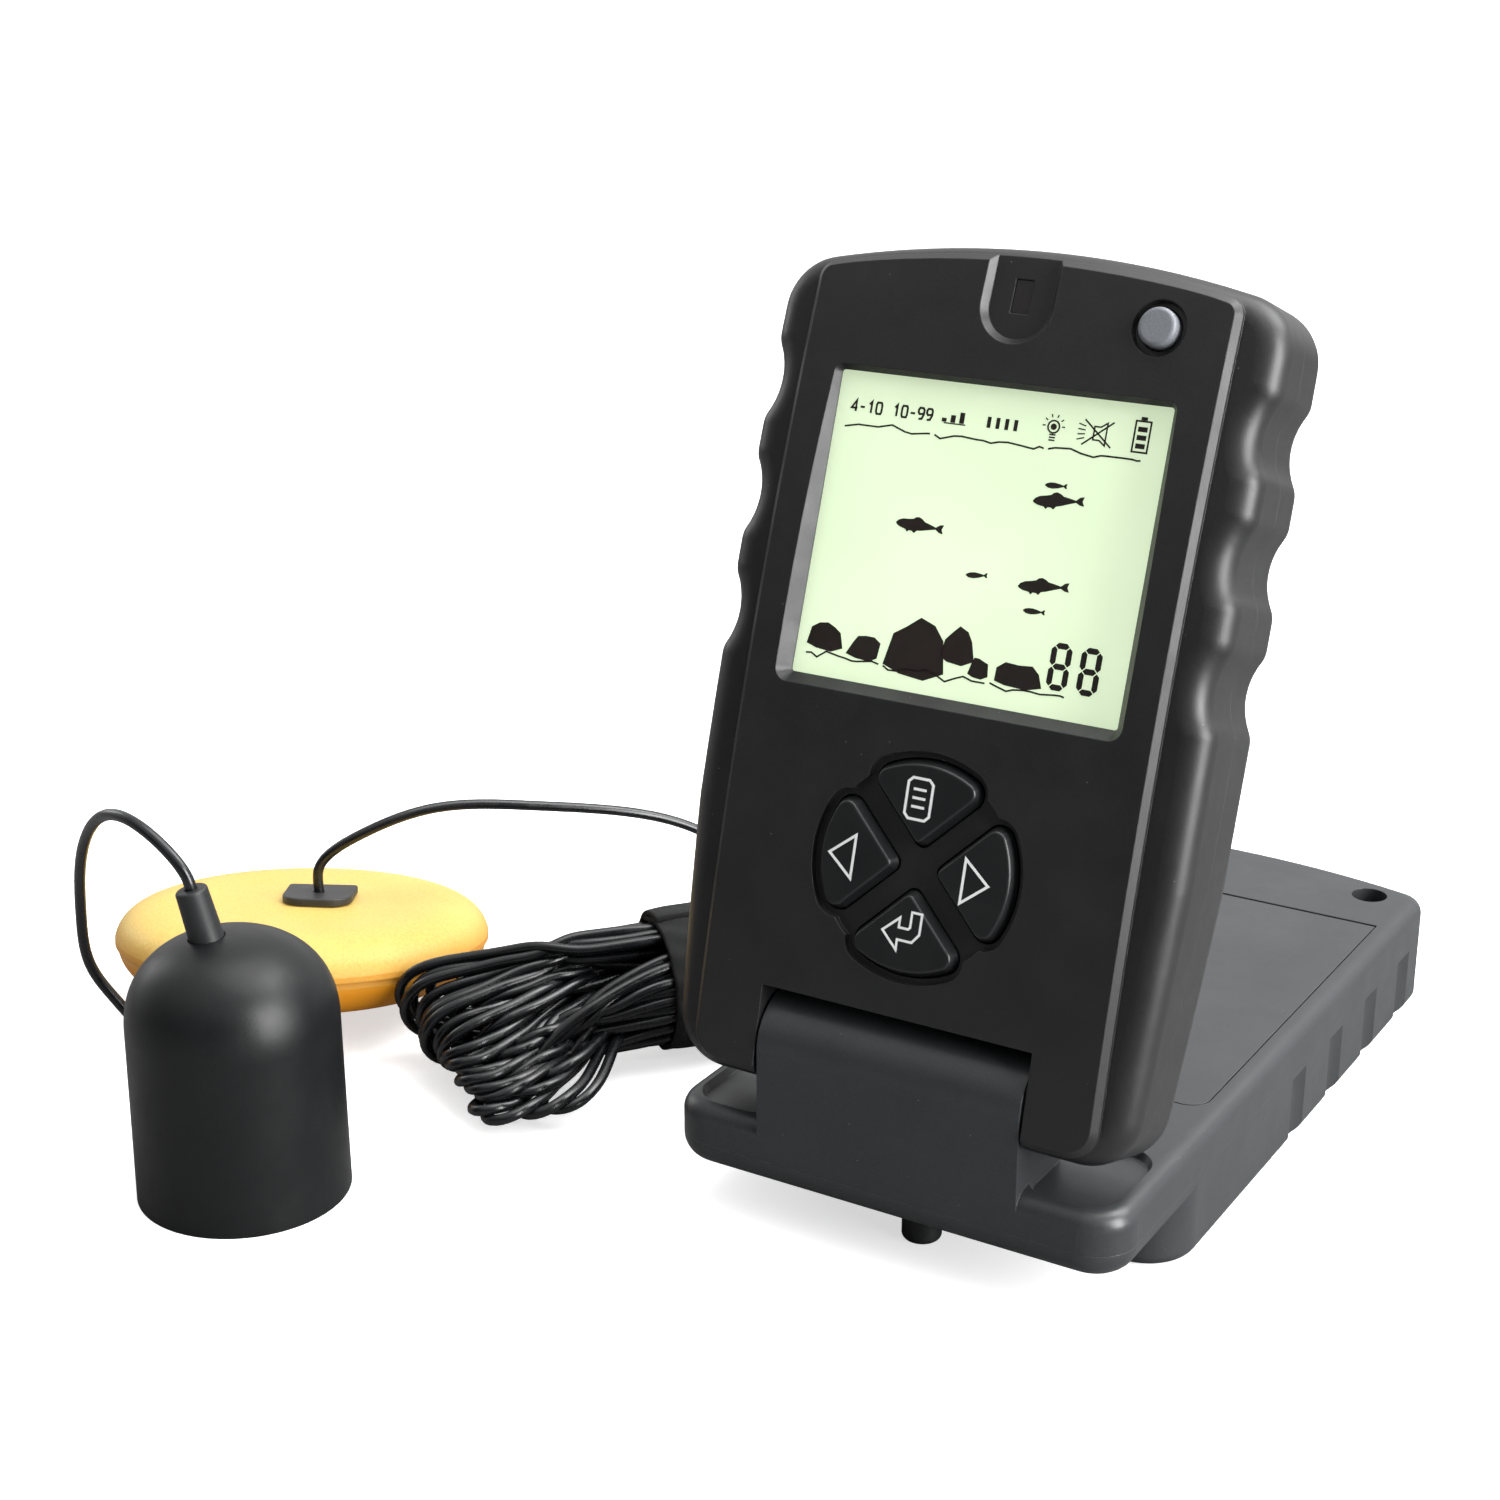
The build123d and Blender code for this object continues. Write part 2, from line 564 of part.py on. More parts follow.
with BuildPart() as base_top_cover:
    with BuildSketch(Plane.XY.offset(BASE_SPLIT)):
        add(base_outline())
    extrude(amount=BASE_TOP - BASE_SPLIT)
    fillet(base_top_cover.faces().sort_by(Axis.Z)[-1].edges(), radius=3)
    # shallow dishes that let the ears of the head swing
    with BuildSketch(Plane.XY.offset(BASE_TOP - 1.2)):
        with Locations(*[(side * 29.6, from_front(12.8)) for side in (-1, 1)]):
            RectangleRounded(13.6, 19.6, 4.5)
    extrude(amount=3, taper=-30, mode=Mode.SUBTRACT)
    # hinge block with its barrel
    with BuildSketch(Plane.YZ.offset(-BLOCK_HALF_W)):
        with Locations((from_front(HINGE_FROM_FRONT), HINGE_Z)):
            Circle(BARREL_R)
        with Locations((from_front(BARREL_R), (BASE_SPLIT + HINGE_Z) / 2)):
            Rectangle(2 * BARREL_R, HINGE_Z - BASE_SPLIT)
    extrude(amount=2 * BLOCK_HALF_W)
    # hollow of the cover, carried up into the block
    with BuildSketch(Plane.XY.offset(BASE_SPLIT)):
        with Locations((0, from_front(75))):
            RectangleRounded(2 * (BASE_HALF_W - 2.6), 142, 5)
    extrude(amount=CAVITY_TOP - BASE_SPLIT, mode=Mode.SUBTRACT)
    with BuildSketch(Plane.XY.offset(BASE_SPLIT)):
        with Locations((0, from_front(BARREL_R + 0.2))):
            Rectangle(2 * BLOCK_HALF_W - 8, 2 * BARREL_R - 5.6)
    extrude(amount=13, mode=Mode.SUBTRACT)
    # screw posts: open from above at the rear, blind at the front
    with BuildSketch(Plane.XY.offset(BASE_SPLIT + 0.05)):
        with Locations(*[(s * REAR_SCREW_X, from_front(REAR_SCREW_FROM_FRONT)) for s in (-1, 1)]):
            Circle(5)
        with Locations(*[(s * FRONT_SCREW_X, from_front(FRONT_SCREW_FROM_FRONT)) for s in (-1, 1)]):
            Circle(3.4)
    extrude(amount=CAVITY_TOP - BASE_SPLIT)
    with Locations(
        *[(s * REAR_SCREW_X, from_front(REAR_SCREW_FROM_FRONT), BASE_TOP) for s in (-1, 1)]
    ):
        CounterBoreHole(radius=1.6, counter_bore_radius=3.4, counter_bore_depth=4.4, depth=10)
    with BuildSketch(Plane.XY.offset(BASE_SPLIT)):
        with Locations(*[(s * FRONT_SCREW_X, from_front(FRONT_SCREW_FROM_FRONT)) for s in (-1, 1)]):
            Circle(1.45)
    extrude(amount=4.2, mode=Mode.SUBTRACT)
    # hinge pin bore
    with BuildSketch(Plane.YZ.offset(-BLOCK_HALF_W - 1)):
        with Locations((from_front(HINGE_FROM_FRONT), HINGE_Z)):
            Circle(PIN_R + 0.05)
    extrude(amount=2 * BLOCK_HALF_W + 2, mode=Mode.SUBTRACT)
    # battery door seat, opening, peg sockets and thumb scoop
    with BuildSketch(Plane.XY.offset(BASE_TOP - DOOR_THICK - 0.1)):
        with Locations((0, door_cut_middle)):
            RectangleRounded(2 * DOOR_HALF_W + 0.5, door_cut_rear - door_cut_front, 4)
        with Locations((0, door_cut_rear - 5)):
            Rectangle(2 * DOOR_HALF_W + 0.5, 10)
    extrude(amount=5, mode=Mode.SUBTRACT)
    with BuildSketch(Plane.XY.offset(BASE_SPLIT)):
        with Locations((0, door_cut_middle)):
            RectangleRounded(2 * DOOR_HALF_W - 5, door_cut_rear - door_cut_front - 6, 3)
    extrude(amount=8, mode=Mode.SUBTRACT)
    with BuildSketch(Plane.YZ.offset(-DOOR_HALF_W - 1.2)):
        with Locations((from_front(DOOR_AXIS), door_axis_z)):
            Circle(DOOR_PEG_R + 0.05)
    extrude(amount=2 * DOOR_HALF_W + 2.4, mode=Mode.SUBTRACT)
    with BuildSketch(Plane.XY.offset(BASE_TOP - DOOR_THICK)):
        with Locations((0, door_cut_front)):
            SlotOverall(16, 5)
    extrude(amount=3, mode=Mode.SUBTRACT)
base_top_cover.part.label = "base_top_cover"

with BuildPart() as thick_block:
    with BuildSketch(Plane.XY) as thick_plan:
        add(base_outline())
        with Locations((0, from_front(THICK_START + 100))):
            Rectangle(2 * BASE_HALF_W + 10, 200, mode=Mode.INTERSECT)
        fillet(thick_plan.vertices().group_by(Axis.Y)[0], radius=9)
    extrude(amount=BASE_SPLIT)
    fillet(thick_block.faces().sort_by(Axis.Z)[0].edges(), radius=1.8)

with BuildPart() as base_bottom_cover:
    with BuildSketch(Plane.XY.offset(THIN_UNDERSIDE)):
        add(base_outline())
    extrude(amount=BASE_SPLIT - THIN_UNDERSIDE)
    fillet(base_bottom_cover.faces().sort_by(Axis.Z)[0].edges(), radius=4.2)
    add(thick_block.part)
    # finger grooves down both sides
    groove_spots = [(s * (BASE_HALF_W + 3.9), from_front(d)) for s in (-1, 1) for d in GROOVES]
    with BuildSketch(Plane.XY):
        with Locations(*groove_spots):
            Circle(5.2)
    extrude(amount=BASE_SPLIT - 1.6, mode=Mode.SUBTRACT)
    # hollow: deep behind, shallow under the hinge
    with BuildSketch(Plane.XY.offset(FLOOR_THICK)):
        with Locations((0, from_front(86))):
            RectangleRounded(2 * (BASE_HALF_W - WALL - 0.8), 120, 5)
    extrude(amount=BASE_SPLIT, mode=Mode.SUBTRACT)
    with BuildSketch(Plane.XY.offset(THIN_UNDERSIDE + FLOOR_THICK)):
        with Locations((0, from_front(20))):
            RectangleRounded(2 * (BASE_HALF_W - 4.5), 32, 4)
    extrude(amount=5, mode=Mode.SUBTRACT)
    # tray walls around the cells
    tray_length = CELL_LENGTH + 10.4
    with BuildSketch(Plane.XY.offset(FLOOR_THICK)):
        with Locations((0, from_front(CELL_FRONT + CELL_LENGTH / 2))):
            Rectangle(4 * CELL_PITCH + 3, tray_length + 3)
            Rectangle(4 * CELL_PITCH + 0.6, tray_length, mode=Mode.SUBTRACT)
    extrude(amount=BASE_SPLIT - FLOOR_THICK - 1)
    # screw posts: from below at the front, threaded under the rear screws
    with BuildSketch(Plane.XY.offset(FLOOR_THICK - 0.5)):
        with Locations(*[(s * REAR_SCREW_X, from_front(REAR_SCREW_FROM_FRONT)) for s in (-1, 1)]):
            Circle(4)
    extrude(amount=BASE_SPLIT - FLOOR_THICK + 0.5)
    with BuildSketch(Plane.XY.offset(BASE_SPLIT)):
        with Locations(*[(s * REAR_SCREW_X, from_front(REAR_SCREW_FROM_FRONT)) for s in (-1, 1)]):
            Circle(1.45)
    extrude(amount=-9, mode=Mode.SUBTRACT)
    with BuildSketch(Plane.XY.offset(THIN_UNDERSIDE)):
        with Locations(*[(s * FRONT_SCREW_X, from_front(FRONT_SCREW_FROM_FRONT)) for s in (-1, 1)]):
            Circle(4.2)
    extrude(amount=BASE_SPLIT - THIN_UNDERSIDE)
    with BuildSketch(Plane.XY.offset(THIN_UNDERSIDE)):
        with Locations(*[(s * FRONT_SCREW_X, from_front(FRONT_SCREW_FROM_FRONT)) for s in (-1, 1)]):
            Circle(2.9)
    extrude(amount=2.2, mode=Mode.SUBTRACT)
    with BuildSketch(Plane.XY.offset(THIN_UNDERSIDE)):
        with Locations(*[(s * FRONT_SCREW_X, from_front(FRONT_SCREW_FROM_FRONT)) for s in (-1, 1)]):
            Circle(1.6)
    extrude(amount=6, mode=Mode.SUBTRACT)
    # hole for the jack in the rear wall and for the stud of the front foot
    with BuildSketch(Plane.XZ.offset(-from_front(JACK_FACE - 8))):
        with Locations((JACK_X, JACK_Z)):
            Circle(3.6)
    extrude(amount=-12, mode=Mode.SUBTRACT)
    with BuildSketch(Plane.XY.offset(THIN_UNDERSIDE)):
        with Locations((0, from_front(FOOT_FROM_FRONT))):
            Circle(1.8)
    extrude(amount=5, mode=Mode.SUBTRACT)
base_bottom_cover.part.label = "base_bottom_cover"

with BuildPart() as battery_door:
    door_front = from_front(DOOR_FRONT)
    door_axis_y = from_front(DOOR_AXIS)
    with BuildSketch(Plane.XY.offset(BASE_TOP - DOOR_THICK)) as door_plan:
        with Locations((0, (door_front + door_axis_y) / 2)):
            Rectangle(2 * DOOR_HALF_W, door_axis_y - door_front)
        fillet(door_plan.vertices().group_by(Axis.Y)[0], radius=3.8)
    extrude(amount=DOOR_THICK)
    with BuildSketch(Plane.YZ.offset(-DOOR_HALF_W)):
        with Locations((door_axis_y, door_axis_z)):
            Circle(DOOR_THICK / 2)
    extrude(amount=2 * DOOR_HALF_W)
    with BuildSketch(Plane.YZ.offset(-DOOR_HALF_W - 1)):
        with Locations((door_axis_y, door_axis_z)):
            Circle(DOOR_PEG_R)
    extrude(amount=2 * DOOR_HALF_W + 2)
battery_door.part.label = "battery_door"

with BuildPart() as front_foot:
    with BuildSketch(Plane.XY):
        with Locations((0, from_front(FOOT_FROM_FRONT))):
            Circle(3.3)
    extrude(amount=THIN_UNDERSIDE - 0.02)
    fillet(front_foot.faces().sort_by(Axis.Z)[0].edges(), radius=1)
    with BuildSketch(Plane.XY.offset(THIN_UNDERSIDE - 0.02)):
        with Locations((0, from_front(FOOT_FROM_FRONT))):
            Circle(1.75)
    extrude(amount=2)
front_foot.part.label = "front_foot"

# ---------------------------------------------------------------- base contents
cell_parts = {}
for number in range(4):
    cell_x = (number - 1.5) * CELL_PITCH
    nub_side = 1 if number % 2 else -1
    with BuildPart() as cell:
        with BuildSketch(Plane.XZ.offset(-from_front(CELL_FRONT))):
            with Locations((cell_x, CELL_Z)):
                Circle(CELL_R)
        extrude(amount=-CELL_LENGTH)
        fillet(cell.edges().filter_by(GeomType.CIRCLE), radius=0.4)
        nub_y = from_front(CELL_FRONT + (CELL_LENGTH if nub_side > 0 else 0))
        with BuildSketch(Plane.XZ.offset(-nub_y)):
            with Locations((cell_x, CELL_Z)):
                Circle(1.9)
        extrude(amount=-nub_side * 0.9)
    cell.part.label = f"battery_cell_{number + 1}"
    cell_parts[cell.part.label] = cell.part

with BuildPart() as contact_plates:
    plate_ys = (CELL_FRONT - 4.9, CELL_FRONT + CELL_LENGTH + 4.6)
    spots = [(s * CELL_PITCH, from_front(y) + 0.15, CELL_Z) for s in (-1, 1) for y in plate_ys]
    with Locations(*spots):
        Box(1.8 * CELL_PITCH, 0.3, 8)
contact_plates.part.label = "contact_plates"

spring_parts = []
for number in range(4):
    spring_side = -1 if number % 2 else 1
    foot_y = from_front(CELL_FRONT - 4.2 if spring_side < 0 else CELL_FRONT + CELL_LENGTH + 4.2)
    spring_foot = ((number - 1.5) * CELL_PITCH, foot_y, CELL_Z)
    with BuildPart() as spring:
        with BuildLine():
            coil_wire = Helix(
                pitch=1.1, height=3.3, radius=3.2, center=spring_foot,
                direction=(0, -spring_side, 0), cone_angle=-18,
            )
        with BuildSketch(Plane(origin=coil_wire @ 0, z_dir=coil_wire % 0)):
            Circle(0.22)
        sweep(path=coil_wire, is_frenet=True)
    spring_parts.append(spring.part)
contact_springs = Compound(children=spring_parts)
contact_springs.label = "contact_springs"

with BuildPart() as jack_socket:
    with BuildSketch(Plane.XZ.offset(-from_front(JACK_FACE - 9.5))):
        with Locations((JACK_X, JACK_Z)):
            Circle(3.5)
    extrude(amount=-9.3)
    with BuildSketch(Plane.XZ.offset(-from_front(JACK_FACE - 6.2))):
        with Locations((JACK_X, JACK_Z)):
            Rectangle(9, 8)
    extrude(amount=11)
    with BuildSketch(Plane.XZ.offset(-from_front(JACK_FACE))):
        with Locations((JACK_X, JACK_Z)):
            Circle(PLUG_R + 0.06)
    extrude(amount=14.5, mode=Mode.SUBTRACT)
jack_socket.part.label = "jack_socket"

with BuildPart() as jack_board:
    with BuildSketch(Plane.XY.offset(FLOOR_THICK + 0.05)):
        with Locations((JACK_X + 5, from_front(JACK_FACE - 14))):
            Rectangle(20, 14)
    extrude(amount=1.2)
jack_board.part.label = "jack_board"

with BuildPart() as base_screws:
    with BuildSketch(Plane.XY.offset(BASE_TOP - 4.38)):
        with Locations(*[(s * REAR_SCREW_X, from_front(REAR_SCREW_FROM_FRONT)) for s in (-1, 1)]):
            Circle(2.6)
    extrude(amount=1.7)
    with BuildSketch(Plane.XY.offset(BASE_TOP - 4.38)):
        with Locations(*[(s * REAR_SCREW_X, from_front(REAR_SCREW_FROM_FRONT)) for s in (-1, 1)]):
            Circle(1.4)
    extrude(amount=-9)
    with BuildSketch(Plane.XY.offset(BASE_TOP - 3.4)):
        with Locations(*[(s * REAR_SCREW_X, from_front(REAR_SCREW_FROM_FRONT)) for s in (-1, 1)]):
            Rectangle(3, 0.6)
            Rectangle(0.6, 3)
    extrude(amount=1, mode=Mode.SUBTRACT)
    with BuildSketch(Plane.XY.offset(THIN_UNDERSIDE + 0.6)):
        with Locations(*[(s * FRONT_SCREW_X, from_front(FRONT_SCREW_FROM_FRONT)) for s in (-1, 1)]):
            Circle(2.6)
            Rectangle(3, 0.6, mode=Mode.SUBTRACT)
    extrude(amount=0.8)
    with BuildSketch(Plane.XY.offset(THIN_UNDERSIDE + 1.4)):
        with Locations(*[(s * FRONT_SCREW_X, from_front(FRONT_SCREW_FROM_FRONT)) for s in (-1, 1)]):
            Circle(2.6)
    extrude(amount=0.75)
    with BuildSketch(Plane.XY.offset(THIN_UNDERSIDE + 2.1)):
        with Locations(*[(s * FRONT_SCREW_X, from_front(FRONT_SCREW_FROM_FRONT)) for s in (-1, 1)]):
            Circle(1.4)
    extrude(amount=6)
base_screws.part.label = "base_screws"

# ---------------------------------------------------------------- plug
plug_start = from_front(JACK_FACE) + 1.2
with BuildPart() as plug:
    with BuildSketch(Plane.XZ.offset(-(plug_start - 13))):
        with Locations((JACK_X, JACK_Z)):
            Circle(PLUG_R)
    extrude(amount=-14)
    with BuildSketch(Plane.XZ.offset(-plug_start)):
        with Locations((JACK_X, JACK_Z)):
            Circle(4.2)
    extrude(amount=-PLUG_GRIP)
    fillet(plug.edges().filter_by(GeomType.CIRCLE).group_by(Axis.Y)[-1], radius=1)
    with BuildSketch(Plane.XZ.offset(-(plug_start + PLUG_GRIP))):
        with Locations((JACK_X, JACK_Z)):
            Circle(2.6)
    extrude(amount=-PLUG_BOOT, taper=4)
    with BuildSketch(Plane.XZ.offset(-(plug_start + PLUG_GRIP))):
        with Locations((JACK_X, JACK_Z)):
            Circle(CABLE_R + 0.1)
    extrude(amount=-PLUG_BOOT - 1, mode=Mode.SUBTRACT)
plug.part.label = "plug"

# ---------------------------------------------------------------- float
float_normal = Vector(*FLOAT_NORMAL).normalized()
FLOAT = Plane(origin=FLOAT_CENTRE, x_dir=Vector(0.854, 0.52, -0.024), z_dir=float_normal)
FLOAT_PROFILE = Plane(origin=FLOAT.origin, x_dir=FLOAT.x_dir, z_dir=-FLOAT.y_dir)


def float_half(height, rim, flat_r):
    """Half section of one float shell, between the rim plane and a crown or keel height."""
    side = 1 if height > 0 else -1
    with BuildSketch() as half:
        with BuildLine():
            Line((0, side * 0.03), (rim, side * 0.03))
            Line((rim, side * 0.03), (rim, side * 1.2))
            Spline(
                (rim, side * 1.2),
                (flat_r, height * 0.93),
                (0, height),
                tangents=((-0.25, side), (-1, 0)),
            )
            Line((0, height), (0, side * 0.03))
        make_face()
    return half.sketch


stem_spot = (HOLE_X, 0)
with BuildPart() as float_upper:
    with BuildSketch(FLOAT_PROFILE):
        add(float_half(FLOAT_CROWN, FLOAT_R, 17))
    revolve(axis=Axis(FLOAT.origin, FLOAT.z_dir))
    with BuildSketch(FLOAT.offset(-1)):
        with Locations(stem_spot):
            Circle(STEM_R + 0.06)
    extrude(amount=FLOAT_CROWN + 4, mode=Mode.SUBTRACT)
float_upper.part.label = "float_upper"

with BuildPart() as float_lower:
    with BuildSketch(FLOAT_PROFILE):
        add(float_half(-FLOAT_KEEL, FLOAT_R - 0.6, 22))
    revolve(axis=Axis(FLOAT.origin, FLOAT.z_dir))
    with BuildSketch(FLOAT.offset(1)):
        with Locations(stem_spot):
            Circle(STEM_R + 0.06)
    extrude(amount=-FLOAT_KEEL - 4, mode=Mode.SUBTRACT)
    with BuildSketch(FLOAT.offset(-FLOAT_KEEL - 1)):
        with Locations((HOLE_X, -25)):
            Rectangle(2 * STEM_R, 50)
    extrude(amount=FLOAT_KEEL - 2, mode=Mode.SUBTRACT)
float_lower.part.label = "float_lower"

with BuildPart() as float_stopper:
    with BuildSketch(FLOAT.offset(FLOAT_CROWN + 0.05)) as flange:
        with Locations(stem_spot):
            Rectangle(13.5, 12.5)
        fillet(flange.vertices().group_by(Axis.Y)[0], radius=4.5)
        fillet(flange.vertices().group_by(Axis.Y)[-1], radius=0.8)
    extrude(amount=1.4)
    fillet(float_stopper.faces().sort_by(Axis(FLOAT.origin, FLOAT.z_dir))[-1].edges(), radius=0.4)
    with BuildSketch(FLOAT.offset(FLOAT_CROWN + 0.06)):
        with Locations(stem_spot):
            Circle(STEM_R)
    extrude(amount=-8)
    with BuildSketch(FLOAT.offset(FLOAT_CROWN + 2)):
        with Locations(stem_spot):
            Circle(CABLE_R + 0.15)
    extrude(amount=-12, mode=Mode.SUBTRACT)
float_stopper.part.label = "float_stopper"

# ---------------------------------------------------------------- transducer
BOOT = Plane(origin=BOOT_FOOT, x_dir=(1, 0, 0), z_dir=Vector(*BOOT_LEAN).normalized())
SONAR_PROFILE = Plane(origin=(SONAR_X, SONAR_Y, 0), x_dir=(1, 0, 0), z_dir=(0, -1, 0))
SONAR_AXIS = Axis((SONAR_X, SONAR_Y, 0), (0, 0, 1))

with BuildPart() as transducer_housing:
    with BuildSketch(SONAR_PROFILE):
        with BuildLine():
            Polyline((0, 0.02), (SONAR_R, 0.02), (SONAR_R - 0.3, SONAR_SHOULDER_Z))
            Spline(
                (SONAR_R - 0.3, SONAR_SHOULDER_Z),
                (SONAR_R * 0.76, SONAR_TOP_Z - 4.6),
                (0, SONAR_TOP_Z),
                tangents=((-0.02, 1), (-1, 0)),
            )
            Line((0, SONAR_TOP_Z), (0, 0.02))
        make_face()
    revolve(axis=SONAR_AXIS)
    with BuildSketch(Plane(origin=(SONAR_X, SONAR_Y, 0))):
        Circle(SONAR_R - 1.9)
    extrude(amount=SONAR_SHOULDER_Z, mode=Mode.SUBTRACT)
    with BuildSketch(BOOT.offset(-0.04)):
        Circle(3.08)
    extrude(amount=BOOT_LENGTH, mode=Mode.SUBTRACT)
    with BuildSketch(BOOT.offset(0.1)):
        Circle(CABLE_R + 0.4)
    extrude(amount=-14, mode=Mode.SUBTRACT)
transducer_housing.part.label = "transducer_housing"

with BuildPart() as transducer_boot:
    with BuildSketch(BOOT):
        Circle(3.02)
    extrude(amount=BOOT_LENGTH, taper=1.6)
    fillet(transducer_boot.faces().sort_by(Axis(BOOT.origin, BOOT.z_dir))[-1].edges(), radius=0.5)
    with BuildSketch(BOOT):
        Circle(CABLE_R + 0.12)
    extrude(amount=BOOT_LENGTH, mode=Mode.SUBTRACT)
transducer_boot.part.label = "transducer_boot"

with BuildPart() as transducer_face:
    with BuildSketch(Plane(origin=(SONAR_X, SONAR_Y, 0.5))):
        Circle(SONAR_R - 1.95)
    extrude(amount=3)
transducer_face.part.label = "transducer_face"

with BuildPart() as piezo_disc:
    with BuildSketch(Plane(origin=(SONAR_X, SONAR_Y, 3.6))):
        Circle(11)
    extrude(amount=2.6)
piezo_disc.part.label = "piezo_disc"

with BuildPart() as potting_plug:
    with BuildSketch(Plane(origin=(SONAR_X, SONAR_Y, 6.4))):
        Circle(SONAR_R - 2)
    extrude(amount=SONAR_SHOULDER_Z - 8)
potting_plug.part.label = "potting_plug"

# ---------------------------------------------------------------- cable
def cable_through(*points):
    """Round cable swept along a smooth line through the points."""
    with BuildPart() as stretch:
        with BuildLine() as path:
            Spline(*points)
        with BuildSketch(Plane(origin=path.line @ 0, z_dir=path.line % 0)):
            Circle(CABLE_R)
        sweep(path=path.line)
    return stretch.part


def float_axis(height):
    """Point on the axis of the cable hole in the float."""
    return FLOAT.from_local_coords(Vector(HOLE_X, 0, height))


def boot_axis(height):
    """Point on the axis of the transducer's boot."""
    return BOOT.from_local_coords(Vector(0, 0, height))


cable_loop_upper = cable_through(
    *[boot_axis(height) for height in (-6, 0, 6, BOOT_LENGTH - 1, BOOT_LENGTH + 2)],
    (-119.6, -120.6, 62.9), (-132, -117.2, 61.3), (-144.5, -111, 49), (-151.2, -106, 35),
    (-152.6, -103.6, 26),
)
cable_loop_upper.label = "cable_loop_upper"

cable_loop_lower = cable_through(
    (-152.6, -103.4, 25.4), (-150.4, -100, 16), (-144.5, -94.5, 6), (-137, -86, 1.6),
    (-134.4, -72, 1.3), (-138.5, -63, 1.4), (-142.5, -55.6, 2.3), (-144.1, -52.7, 4.8),
    float_axis(-3.6),
)
cable_loop_lower.label = "cable_loop_lower"

cable_arc = cable_through(
    *[float_axis(height) for height in (-3.2, 1, 5, FLOAT_CROWN + 1.7, FLOAT_CROWN + 6)],
    (-138.6, -44.6, 32.2),
    (-128.5, -33.6, 36.2), (-115.5, -18.8, 34.4), (-103.3, -4.9, 31), (-93.5, 6.3, 25.4),
    (-82, 18, 14.5), (-70, 26, 8.8), (-61.5, 26.4, 7.4),
)
cable_arc.label = "cable_arc"

plug_end = plug_start + PLUG_GRIP + PLUG_BOOT
cable_lead = cable_through(
    *[(JACK_X, plug_end + ahead, JACK_Z) for ahead in (-6, -3, 0, 3)], (-26, 103, 4.8),
    (-42, 108, 2.0), (-57, 96, 1.5), (-63, 74, 1.4), (-62.5, 48, 1.7), (-60.4, 32, 5.6),
)
cable_lead.label = "cable_lead"

# The wound cable is one closed envelope: a wide fan of loops, a waist held by the strap, a tail.
WAIST_R = 11.6
# From the waist to the outside of the strap, which just clears the ground.
STRAP_REACH = 2.0
COIL_STATIONS = (
    ((-95, -77, 8.2), 18.5, 7.4),
    ((-87.5, -58, 10.6), 16.5, 9.8),
    ((-79.5, -42, 12.6), 12.6, 11.6),
    ((-70, -32.5, WAIST_R + STRAP_REACH + 0.1), WAIST_R, WAIST_R),
    ((-61.8, -23.5, 12.4), 11.6, 11.4),
    ((-58.4, -6, 11.2), 11.4, 10.4),
    ((-58.6, 10, 9.6), 10.8, 8.8),
    ((-59.6, 23, 7.8), 8.6, 7.0),
)
with BuildLine():
    coil_spine = Spline(*[centre for centre, across, up in COIL_STATIONS])


def across_path(centre):
    """Vertical plane across the coil's centre line, X level and Y up."""
    along = coil_spine.tangent_at(coil_spine.param_at_point(Vector(*centre)))
    level = Vector(along.X, along.Y, 0).normalized()
    return Plane(origin=centre, x_dir=(level.Y, -level.X, 0), z_dir=-level)


with BuildPart() as cable_coil:
    for centre, across, up in COIL_STATIONS:
        with BuildSketch(across_path(centre)):
            Ellipse(across, up)
    loft()
cable_coil.part.label = "cable_coil"

with BuildPart() as coil_strap:
    waist = across_path(COIL_STATIONS[3][0])
    with BuildSketch(waist.offset(-STRAP_WIDTH / 2)):
        Circle(WAIST_R + STRAP_REACH)
        Circle(WAIST_R + 0.9, mode=Mode.SUBTRACT)
    extrude(amount=STRAP_WIDTH)
coil_strap.part.label = "coil_strap"

# ---------------------------------------------------------------- export
named = [
    head_front_cover, head_rear_cover, window_lens, lcd_glass, lcd_frame, backlight_panel,
    main_board, tact_switches, buzzer, alarm_lamp, lamp_window, reset_button, head_screws,
    hinge_pin, hinge_washers, base_top_cover, base_bottom_cover, battery_door, front_foot,
    contact_plates, jack_socket, jack_board, base_screws, plug, float_upper, float_lower,
    float_stopper, transducer_housing, transducer_boot, transducer_face, piezo_disc, potting_plug,
    cable_coil, coil_strap,
]
pieces = [item.part for item in named]
pieces += list(key_parts.values()) + list(cell_parts.values()) + [contact_springs]
pieces += [cable_loop_upper, cable_loop_lower, cable_arc, cable_lead]

os.makedirs("parts", exist_ok=True)
for piece in pieces:
    export_step(piece, f"parts/{piece.label}.step")
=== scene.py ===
import math
import random

import bmesh
import bpy
import numpy as np
from mathutils import Matrix, Vector, noise
from mathutils.kdtree import KDTree

